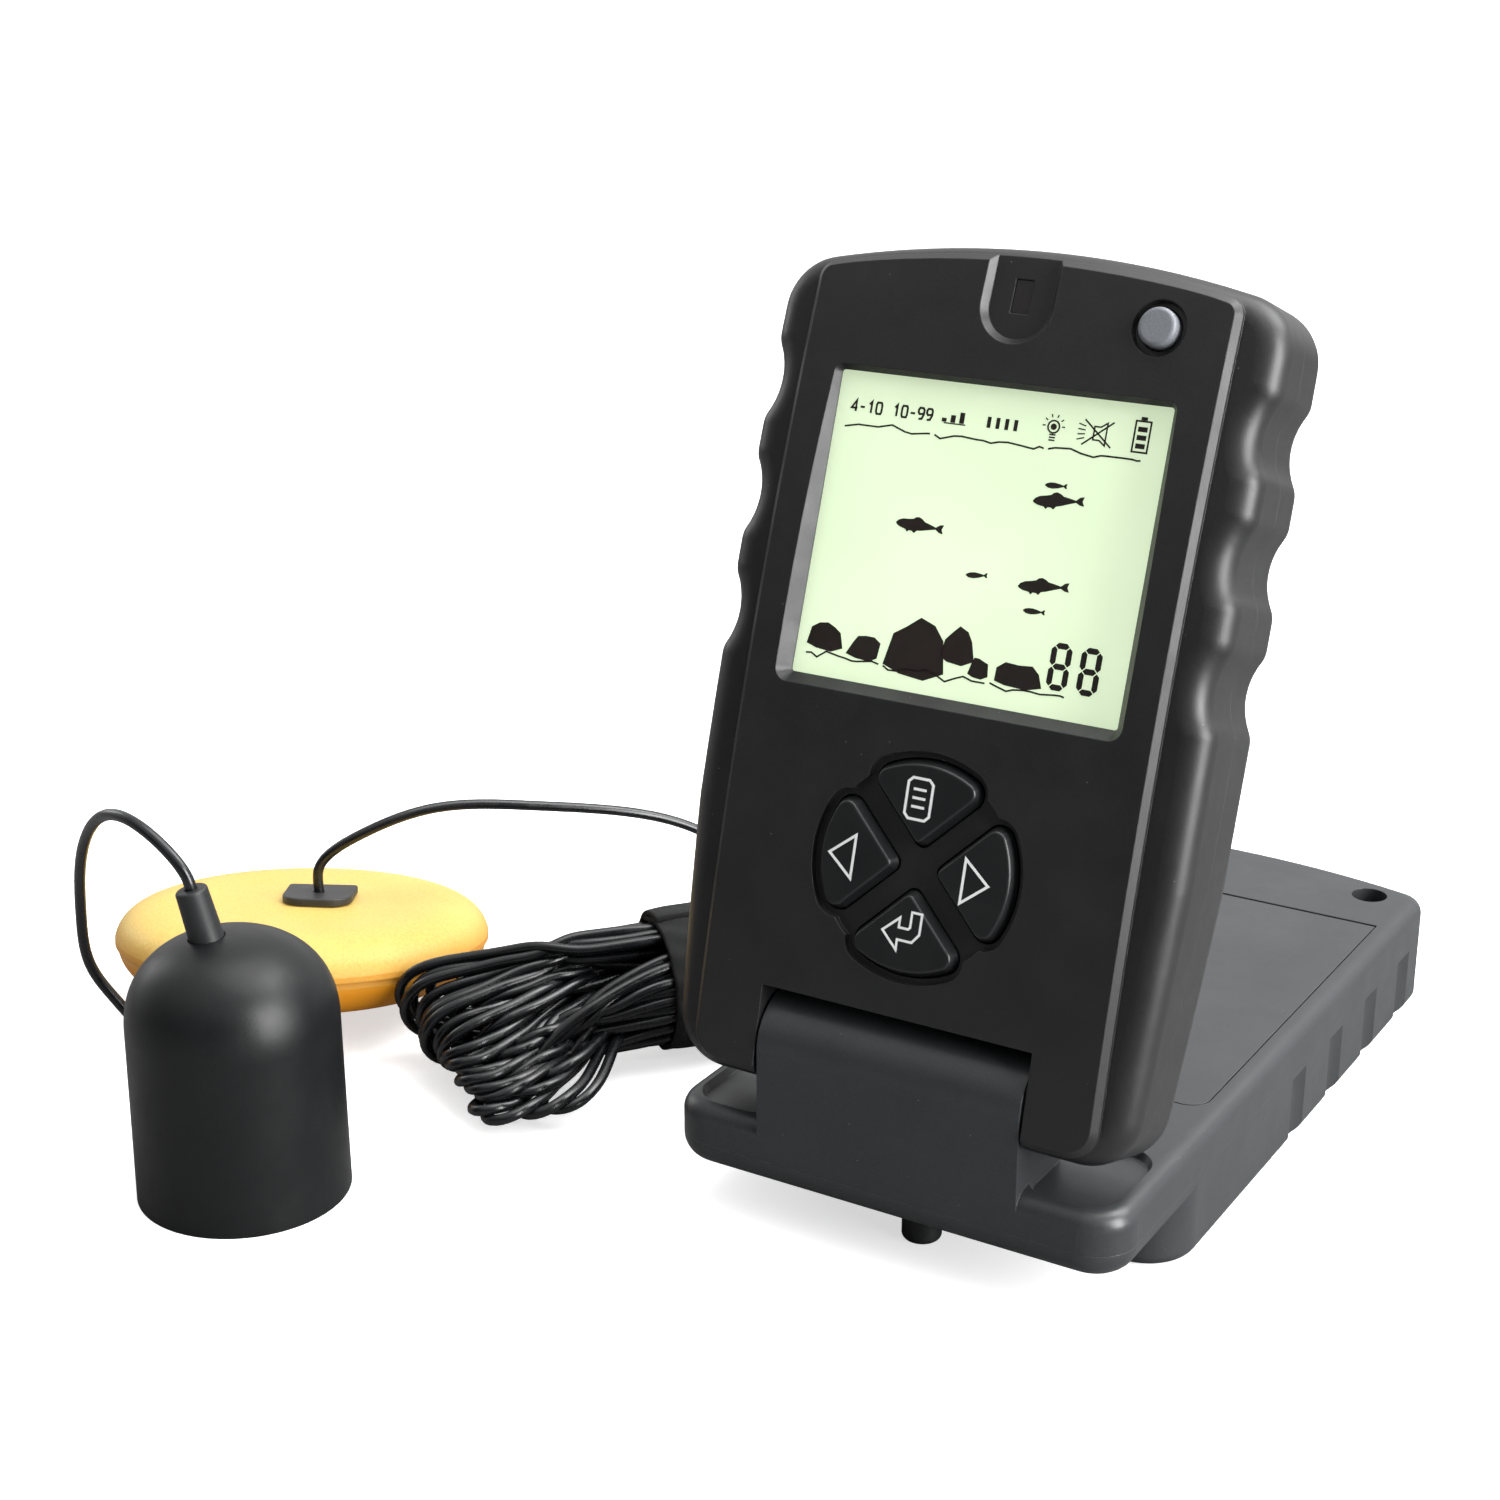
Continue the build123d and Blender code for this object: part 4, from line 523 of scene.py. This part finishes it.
# ------------------------------------------------------------------ cables
def smooth_path(points, step, closed=False):
    """Evenly spaced points on the cubic spline through the given ones."""
    p = np.array(points, float)
    if closed:
        wrap = min(6, len(p) - 1)
        p = np.concatenate([p[-wrap:], p, p[:wrap + 1]])
    gap = np.linalg.norm(np.diff(p, axis=0), axis=1)
    knots = np.concatenate([[0], np.cumsum(np.maximum(gap, 1e-6) ** 0.75)])
    h = np.diff(knots)
    n = len(p)
    system, right = np.eye(n), np.zeros((n, 3))
    for i in range(1, n - 1):
        system[i, i - 1:i + 2] = h[i - 1], 2 * (h[i - 1] + h[i]), h[i]
        right[i] = 6 * ((p[i + 1] - p[i]) / h[i] - (p[i] - p[i - 1]) / h[i - 1])
    bend = np.linalg.solve(system, right)
    first, last = (wrap, n - wrap - 1) if closed else (0, n - 1)
    dense = []
    for i in range(first, last):
        count = max(3, int(gap[i] / 0.3))
        for t in np.linspace(0, h[i], count, endpoint=False):
            u = h[i] - t
            dense.append((bend[i] * u ** 3 + bend[i + 1] * t ** 3) / (6 * h[i])
                         + (p[i] / h[i] - bend[i] * h[i] / 6) * u + (p[i + 1] / h[i] - bend[i + 1] * h[i] / 6) * t)
    dense.append(p[last])
    dense = np.array(dense)
    reach = np.concatenate([[0], np.cumsum(np.linalg.norm(np.diff(dense, axis=0), axis=1))])
    count = max(8, int(round(reach[-1] / step)))
    where = np.linspace(0, reach[-1], count + 1)
    if closed:
        where = where[:-1]
    return np.stack([np.interp(where, reach, dense[:, k]) for k in range(3)], axis=1)


def tube(bm, path, radius, sides=12, closed=False):
    """Round tube along a path, with frames carried along it and flat caps on open ends."""
    count = len(path)
    tangents = np.roll(path, -1, 0) - np.roll(path, 1, 0) if closed else np.gradient(path, axis=0)
    tangents /= np.linalg.norm(tangents, axis=1)[:, None]
    side = np.cross(tangents[0], (0, 0, 1.0))
    if np.linalg.norm(side) < 0.1:
        side = np.cross(tangents[0], (1.0, 0, 0))
    side /= np.linalg.norm(side)
    frames = []
    for t in tangents:
        side = side - t * side.dot(t)
        side /= np.linalg.norm(side)
        frames.append((side.copy(), np.cross(t, side)))
    twist = 0.0
    if closed:
        end = frames[-1][0] - tangents[0] * frames[-1][0].dot(tangents[0])
        twist = math.atan2(end.dot(frames[0][1]), end.dot(frames[0][0]))
    rings = []
    for i, (point, (a, b)) in enumerate(zip(path, frames)):
        turn = -twist * i / count
        ring = []
        for k in range(sides):
            w = 2 * math.pi * k / sides + turn
            ring.append(bm.verts.new(Vector(point + radius * (math.cos(w) * a + math.sin(w) * b)) * MM))
        rings.append(ring)
    pairs = list(zip(rings, rings[1:] + rings[:1])) if closed else list(zip(rings, rings[1:]))
    for one, two in pairs:
        for k in range(sides):
            m = (k + 1) % sides
            bm.faces.new((one[k], one[m], two[m], two[k])).smooth = True
    if not closed:
        bm.faces.new(rings[0][::-1])
        bm.faces.new(rings[-1])


def mesh_object(name, bm):
    bmesh.ops.recalc_face_normals(bm, faces=bm.faces)
    mesh = bpy.data.meshes.new(name)
    bm.to_mesh(mesh)
    bm.free()
    obj = bpy.data.objects.new(name, mesh)
    bpy.context.scene.collection.objects.link(obj)
    return obj


def cable(name, points, step=0.8):
    bm = bmesh.new()
    tube(bm, smooth_path(points, step), 1.0, 16)
    return mesh_object(name, bm)


def along(origin, direction, distance):
    return tuple(Vector(origin) + Vector(direction).normalized() * distance)


FLOAT_C, FLOAT_N = Vector((-147.1, -53.1, 12.0)), Vector((-0.062, 0.148, 1.0)).normalized()
FLOAT_HOLE = FLOAT_C + Vector((0.854, 0.52, -0.024)) * 3.0
BOOT, BOOT_LEAN = (-107.6, -118.8, 41.5), (-0.19, -0.115, 0.975)
loop = cable("cable_loop", [
    *[along(BOOT, BOOT_LEAN, reach) for reach in (-6, 0, 6, 12, 15)], (-119.6, -120.6, 62.9), (-132, -117.2, 61.3), (-144.5, -111, 49), (-151.2, -106, 35),
    (-152.8, -103.4, 24), (-150.4, -100, 16), (-144.5, -94.5, 6), (-137, -86, 1.6), (-134.4, -72, 1.3),
    (-138.5, -63, 1.4), (-142.5, -55.6, 2.3), (-144.1, -52.7, 4.8), tuple(FLOAT_HOLE + FLOAT_N * -3.6)])
dress(loop, "cable")
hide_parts("cable_loop_upper", "cable_loop_lower")
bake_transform(loop)

arc = cable("cable_arc_jacket", [
    tuple(FLOAT_HOLE + FLOAT_N * d) for d in (-3.2, 1, 5, 9.3, 13.6)] + [
    (-138.6, -44.6, 32.2), (-128.5, -33.6, 36.2), (-115.5, -18.8, 34.4), (-103.3, -4.9, 31), (-93.5, 6.3, 25.4),
    (-82, 18, 14.5), (-70, 26, 8.8), (-61.5, 26.4, 7.4)])
dress(arc, "cable", "base")
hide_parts("cable_arc")

lead = cable("cable_lead_jacket", [
    *[(-20, 88.6 + ahead, 7.5) for ahead in (-6, -3, 0, 3)], (-26, 103, 4.8), (-42, 108, 2.0), (-57, 96, 1.5),
    (-63, 74, 1.4), (-62.5, 48, 1.7), (-60.4, 32, 5.6)])
dress(lead, "cable")
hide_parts("cable_lead")
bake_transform(lead)

# ------------------------------------------------------------------ coil
STRAP_C = Vector((-70.0, -32.5, 13.7))
STRAP_AXIS = Vector((-0.60, -0.80, 0.0)).normalized()
REAR = [(Vector((-61.8, -23.5, 12.4)), 11.6, 11.4), (Vector((-58.4, -6, 11.2)), 11.4, 10.4),
        (Vector((-58.6, 10, 9.6)), 10.8, 8.8), (Vector((-59.6, 21, 7.8)), 8.8, 7.2)]
UP = Vector((0, 0, 1))
STRAND_R = 1.0


def ring_point(centre, direction, half_across, half_up, rho, angle):
    """Point of a flattened ring round the bundle: angle 0 faces the near side, 90 is the top."""
    d = Vector(direction).normalized()
    across = d.cross(UP).normalized()
    a = math.radians(angle)
    return centre + across * (half_across * rho * math.cos(a)) + UP * (half_up * rho * math.sin(a))


FRONT_EDGE = smooth_path([(-114, -67, 13), (-105, -73, 10), (-96, -78, 8.5), (-88, -82, 6.5), (-81.5, -85, 3.2)], 0.5)
# Layers of loops from the outside in: count, share of the radius at the strap, distance behind the front edge.
LAYERS = ((17, 1.0, 0.0), (9, 0.68, 6.0), (6, 0.36, 12.0))


def loops():
    """Angles of the two strands at the strap, share of the radius, front tip, turn radius, way of the turn."""
    out = []
    for count, rho, back in LAYERS:
        for i in range(count):
            t = i / (count - 1)
            rng = random.Random(100 * back + i)
            tip = Vector(FRONT_EDGE[int(t * (len(FRONT_EDGE) - 1))])
            tip += STRAP_AXIS * (rng.uniform(-2.4, 0.4) - back)
            flat = min(1.0, max(0.0, (t - 0.45) / 0.2))
            turn = (1 - flat) * min(7.5, tip.z - 1.4) + flat * 6.0
            facing = (0.2 + 0.6 * flat, -0.15 - 0.45 * flat, 1.0 - 0.85 * flat)
            out.append((104 - 150 * t, 264 - 132 * t, rho, tip, turn * rng.uniform(0.72, 1.0), facing))
    return out


def hermite(p0, m0, p1, m1, count):
    out = []
    for i in range(count):
        t = i / count
        out.append(p0 * (2 * t ** 3 - 3 * t ** 2 + 1) + m0 * (t ** 3 - 2 * t ** 2 + t)
                   + p1 * (-2 * t ** 3 + 3 * t ** 2) + m1 * (t ** 3 - t ** 2))
    return out


def loop_guide(index, out_angle, in_angle, rho, tip, turn, facing):
    rng = random.Random(index)
    tip = Vector(tip)
    half = 10.5
    a = ring_point(STRAP_C, STRAP_AXIS, half, half, rho, out_angle)
    b = ring_point(STRAP_C, STRAP_AXIS, half, half, rho, in_angle)
    forward = (tip - STRAP_C)
    forward.z *= 0.5
    forward.normalize()
    d = Vector(facing)
    d = (d - forward * d.dot(forward)).normalized()
    centre = tip - forward * turn
    q_out, q_in = centre + d * turn, centre - d * turn
    front = [a - STRAP_AXIS * 6, a]
    reach = (q_out - a).length
    front += hermite(a + STRAP_AXIS * 5, STRAP_AXIS * reach * 0.9, q_out, forward * reach * 0.75, 7)
    for angle in (90, 60, 30, 0, -30, -60, -90):
        w = math.radians(angle)
        front.append(centre + d * turn * math.sin(w) + forward * turn * math.cos(w))
    reach = (q_in - b).length
    front += hermite(q_in, -forward * reach * 0.75, b + STRAP_AXIS * 5, -STRAP_AXIS * reach * 0.9, 7)[1:]
    front += [b + STRAP_AXIS * 5, b, b - STRAP_AXIS * 6]
    rear = []
    for k, (centre_k, across, up) in enumerate(REAR):
        ahead = REAR[min(k + 1, 3)][0] - REAR[max(k - 1, 0)][0]
        swell = 1.0 - 0.9 / min(across, up)
        rear.append((ring_point(centre_k, -ahead, across - 1, up - 1, rho * swell, in_angle),
                     ring_point(centre_k, -ahead, across - 1, up - 1, rho * swell, out_angle)))
    end = Vector((-60.0 + rng.uniform(-1, 1), 30.0 + rng.uniform(-3.5, 1.5), 7.2))
    back_in, back_out = [p[0] for p in rear], [p[1] for p in rear]
    mid = (back_in[-1] + back_out[-1]) / 2
    apex_in = mid * 0.35 + back_in[-1] * 0.35 + end * 0.3
    apex_out = mid * 0.35 + back_out[-1] * 0.35 + end * 0.3
    tip_rear = mid + (end - mid) * 0.9
    tip_rear.z = max(tip_rear.z, 2.0)
    apex_in.y += 3
    apex_out.y += 3
    return front + back_in + [apex_in, tip_rear, apex_out] + back_out[::-1]


def relax(strands, rounds):
    """Pushes touching strands apart and keeps each one smooth, above the ground and inside the strap."""
    sizes = [len(s) for s in strands]
    owner = np.concatenate([np.full(n, i) for i, n in enumerate(sizes)])
    order = np.concatenate([np.arange(n) for n in sizes])
    starts = np.concatenate([[0], np.cumsum(sizes)])
    points = np.concatenate(strands)
    home = points.copy()
    c, axis = np.array(STRAP_C), np.array(STRAP_AXIS)
    for step in range(rounds):
        tree = KDTree(len(points))
        for i, p in enumerate(points):
            tree.insert(p, i)
        tree.balance()
        push = np.zeros_like(points)
        for i, p in enumerate(points):
            for other, j, distance in tree.find_range(p, 2.05 * STRAND_R):
                if j <= i:
                    continue
                if owner[i] == owner[j]:
                    gap = abs(order[i] - order[j])
                    if min(gap, sizes[owner[i]] - gap) < 5:
                        continue
                away = p - points[j]
                length = max(1e-4, distance)
                move = away / length * (2.05 * STRAND_R - length) * 0.5
                push[i] += move
                push[j] -= move
        points = points + np.clip(push * 0.7, -0.8, 0.8)
        for i in range(len(strands)):
            s = points[starts[i]:starts[i + 1]]
            s += 0.30 * ((np.roll(s, 1, 0) + np.roll(s, -1, 0)) / 2 - s)
            s += 0.12 * ((np.roll(s, 2, 0) + np.roll(s, -2, 0)) / 2 - s)
        points += (home - points) * 0.06
        points[:, 2] = np.maximum(points[:, 2], STRAND_R)
        rel = points - c
        s_along = rel @ axis
        radial = rel - np.outer(s_along, axis)
        r = np.linalg.norm(radial, axis=1)
        tight = (np.abs(s_along) < 9.0) & (r > 10.6)
        points[tight] -= (radial[tight] / r[tight][:, None]) * (r[tight] - 10.6)[:, None]
        points[:, 0] = np.where(points[:, 1] > -80, np.minimum(points[:, 0], -44.5), points[:, 0])
    out = [points[starts[i]:starts[i + 1]] for i in range(len(strands))]
    for s in out:
        for share in (0.5, -0.53) * 14:
            s += share * ((np.roll(s, 1, 0) + np.roll(s, -1, 0)) / 2 - s)
        s[:, 2] = np.maximum(s[:, 2], STRAND_R)
    return out


strands = []
for index, spec in enumerate(loops()):
    guide = loop_guide(index, *spec)
    strands.append(smooth_path([tuple(g) for g in guide], 1.6, True))
strands = relax(strands, 24)
bm = bmesh.new()
for s in strands:
    tube(bm, smooth_path([tuple(p) for p in s[::2]], 1.1, True), STRAND_R, 12, True)
coil = mesh_object("coil_strands", bm)
dress(coil, "cable", "base")
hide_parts("cable_coil")


# ------------------------------------------------------------------ strap
def strap_band():
    """Flat webbing wound a little over once round the bundle, its free end lapped on top."""
    bm = bmesh.new()
    uv = bm.loops.layers.uv.new("UVMap")
    around, across_n = 150, 16
    width, thick, inner = 15.0, 1.0, 11.75
    start, stop = math.radians(60), math.radians(60 + 395)
    u_dir = STRAP_AXIS.cross(UP).normalized()
    grid = []
    for i in range(around + 1):
        t = i / around
        angle = start + (stop - start) * t
        lap = min(1.0, max(0.0, (t - 0.86) / 0.07))
        lap = lap * lap * (3 - 2 * lap)
        radius = inner + lap * (thick + 0.12)
        row = []
        for k in range(across_n + 1):
            s = (k / across_n - 0.5) * width
            ripple = 0.16 * math.sin(angle * 15.0 + 0.6 * s) * (1 - lap) + 0.12 * noise.noise(Vector((s * 0.2, angle * 2, 1.0)))
            edge = -0.22 * (abs(s) / (width / 2)) ** 6
            base = STRAP_C + STRAP_AXIS * (s * (1 + 0.01 * math.sin(angle * 3)))
            direction = u_dir * math.cos(angle) + UP * math.sin(angle)
            row.append((base + direction * (radius + ripple + edge),
                        base + direction * (radius + ripple + edge + thick), t, k / across_n))
        grid.append(row)
    inner_v = [[bm.verts.new(p[0] * MM) for p in row] for row in grid]
    outer_v = [[bm.verts.new(p[1] * MM) for p in row] for row in grid]

    def face(verts, coords):
        f = bm.faces.new(verts)
        f.smooth = True
        for loop_, c in zip(f.loops, coords):
            loop_[uv].uv = c

    for i in range(around):
        for k in range(across_n):
            a = [(grid[i + x][k + y][2] * 5.4, grid[i + x][k + y][3]) for x, y in ((0, 0), (1, 0), (1, 1), (0, 1))]
            face((outer_v[i][k], outer_v[i + 1][k], outer_v[i + 1][k + 1], outer_v[i][k + 1]), a)
            face((inner_v[i][k], inner_v[i][k + 1], inner_v[i + 1][k + 1], inner_v[i + 1][k]),
                 (a[0], a[3], a[2], a[1]))
        for k in (0, across_n):
            a = [(grid[i + x][k][2] * 5.4, y * 0.06) for x, y in ((0, 0), (1, 0), (1, 1), (0, 1))]
            face((inner_v[i][k], inner_v[i + 1][k], outer_v[i + 1][k], outer_v[i][k]), a)
    for i in (0, around):
        for k in range(across_n):
            a = [(0.0, 0.0), (0.0, 0.06), (0.06, 0.06), (0.06, 0.0)]
            face((inner_v[i][k], inner_v[i][k + 1], outer_v[i][k + 1], outer_v[i][k]), a)
    obj = mesh_object("coil_strap_web", bm)
    bevel = obj.modifiers.new("edge", "BEVEL")
    bevel.width = 0.25 * MM
    bevel.segments = 2
    bevel.limit_method = "ANGLE"
    bevel.angle_limit = math.radians(50)
    return obj


strap = strap_band()
dress(strap, "strap", "base")
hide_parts("coil_strap")


# ------------------------------------------------------------------ stage, light and camera
def floor():
    bm = bmesh.new()
    bmesh.ops.create_grid(bm, x_segments=2, y_segments=2, size=9.0)
    obj = mesh_object("floor", bm)
    m = bpy.data.materials.new("floor_pale")
    m.use_nodes = True
    tree = m.node_tree
    tree.nodes.clear()
    diffuse = add(tree, "ShaderNodeBsdfDiffuse", {"Color": (0.80, 0.80, 0.80, 1)})
    glow = add(tree, "ShaderNodeEmission", {"Color": (1, 1, 1, 1), "Strength": 0.62})
    seen = add(tree, "ShaderNodeAddShader", {0: diffuse.outputs[0], 1: glow.outputs[0]})
    dim = add(tree, "ShaderNodeBsdfDiffuse", {"Color": (0.20, 0.20, 0.20, 1)})
    ray = add(tree, "ShaderNodeLightPath").outputs["Is Camera Ray"]
    both = add(tree, "ShaderNodeMixShader", {0: ray, 1: dim.outputs[0], 2: seen.outputs[0]})
    below = add(tree, "ShaderNodeNewGeometry").outputs["Backfacing"]
    gone = add(tree, "ShaderNodeBsdfTransparent")
    one_sided = add(tree, "ShaderNodeMixShader", {0: below, 1: both.outputs[0], 2: gone.outputs[0]})
    add(tree, "ShaderNodeOutputMaterial", {"Surface": one_sided.outputs[0]})
    obj.data.materials.append(m)


def world():
    """White backdrop; bright above and behind the object, dim on the camera's side."""
    w = bpy.data.worlds.new("studio")
    bpy.context.scene.world = w
    w.use_nodes = True
    tree = w.node_tree
    tree.nodes.clear()
    direction = add(tree, "ShaderNodeTexCoord").outputs["Generated"]
    towards = Vector((-0.35, 0.80, 0.0)).normalized()
    dot = add(tree, "ShaderNodeVectorMath", {0: direction, 1: tuple(towards)}, operation="DOT_PRODUCT")
    back = span(tree, dot.outputs["Value"], -0.35, 0.45, 0.0, 1.0)
    z = add(tree, "ShaderNodeSeparateXYZ", {0: direction}).outputs[2]
    top = span(tree, z, 0.35, 0.95, 0.0, 1.0)
    lit = maths(tree, "MAXIMUM", back, top)
    strength = span(tree, lit, 0.0, 1.0, 0.07, 1.0)
    light = add(tree, "ShaderNodeBackground", {"Color": (1, 1, 1, 1), "Strength": strength})
    white = add(tree, "ShaderNodeBackground", {"Color": (1, 1, 1, 1), "Strength": 1.0})
    ray = add(tree, "ShaderNodeLightPath").outputs["Is Camera Ray"]
    mix = add(tree, "ShaderNodeMixShader", {0: ray, 1: light.outputs[0], 2: white.outputs[0]})
    add(tree, "ShaderNodeOutputWorld", {"Surface": mix.outputs[0]})


def soft_box(name, position, target, size, power):
    data = bpy.data.lights.new(name, "AREA")
    data.shape = "RECTANGLE"
    data.size, data.size_y = size
    data.energy = power
    obj = bpy.data.objects.new(name, data)
    bpy.context.scene.collection.objects.link(obj)
    obj.location = position
    obj.rotation_euler = (Vector(target) - Vector(position)).to_track_quat("-Z", "Y").to_euler()


def camera():
    data = bpy.data.cameras.new("camera")
    data.sensor_width = 36.0
    data.lens = 61.77
    data.clip_start, data.clip_end = 0.02, 30.0
    obj = bpy.data.objects.new("camera", data)
    bpy.context.scene.collection.objects.link(obj)
    azimuth, pitch = math.radians(31.40), math.radians(-19.68)
    forward = Vector((-math.sin(azimuth) * math.cos(pitch), math.cos(azimuth) * math.cos(pitch), math.sin(pitch)))
    obj.rotation_euler = forward.to_track_quat("-Z", "Y").to_euler()
    obj.location = Vector((167.95, -401.80, 215.81)) * MM
    bpy.context.scene.camera = obj


floor()
world()
camera()
soft_box("key_light", (0.55, 0.45, 0.95), (0, 0, 0.05), (0.7, 0.7), 12.0)
soft_box("top_light", (0.1, 0.2, 1.1), (0.03, 0.02, 0.0), (0.9, 0.9), 9.0)
soft_box("side_light", (1.35, -0.20, 0.40), (0.03, -0.02, 0.07), (0.7, 1.3), 50.0)
soft_box("left_light", (-1.3, 0.1, 0.55), (-0.1, -0.08, 0.03), (0.3, 0.6), 1.6)
bpy.context.scene.view_settings.view_transform = "Standard"
bpy.context.scene.view_settings.look = "None"
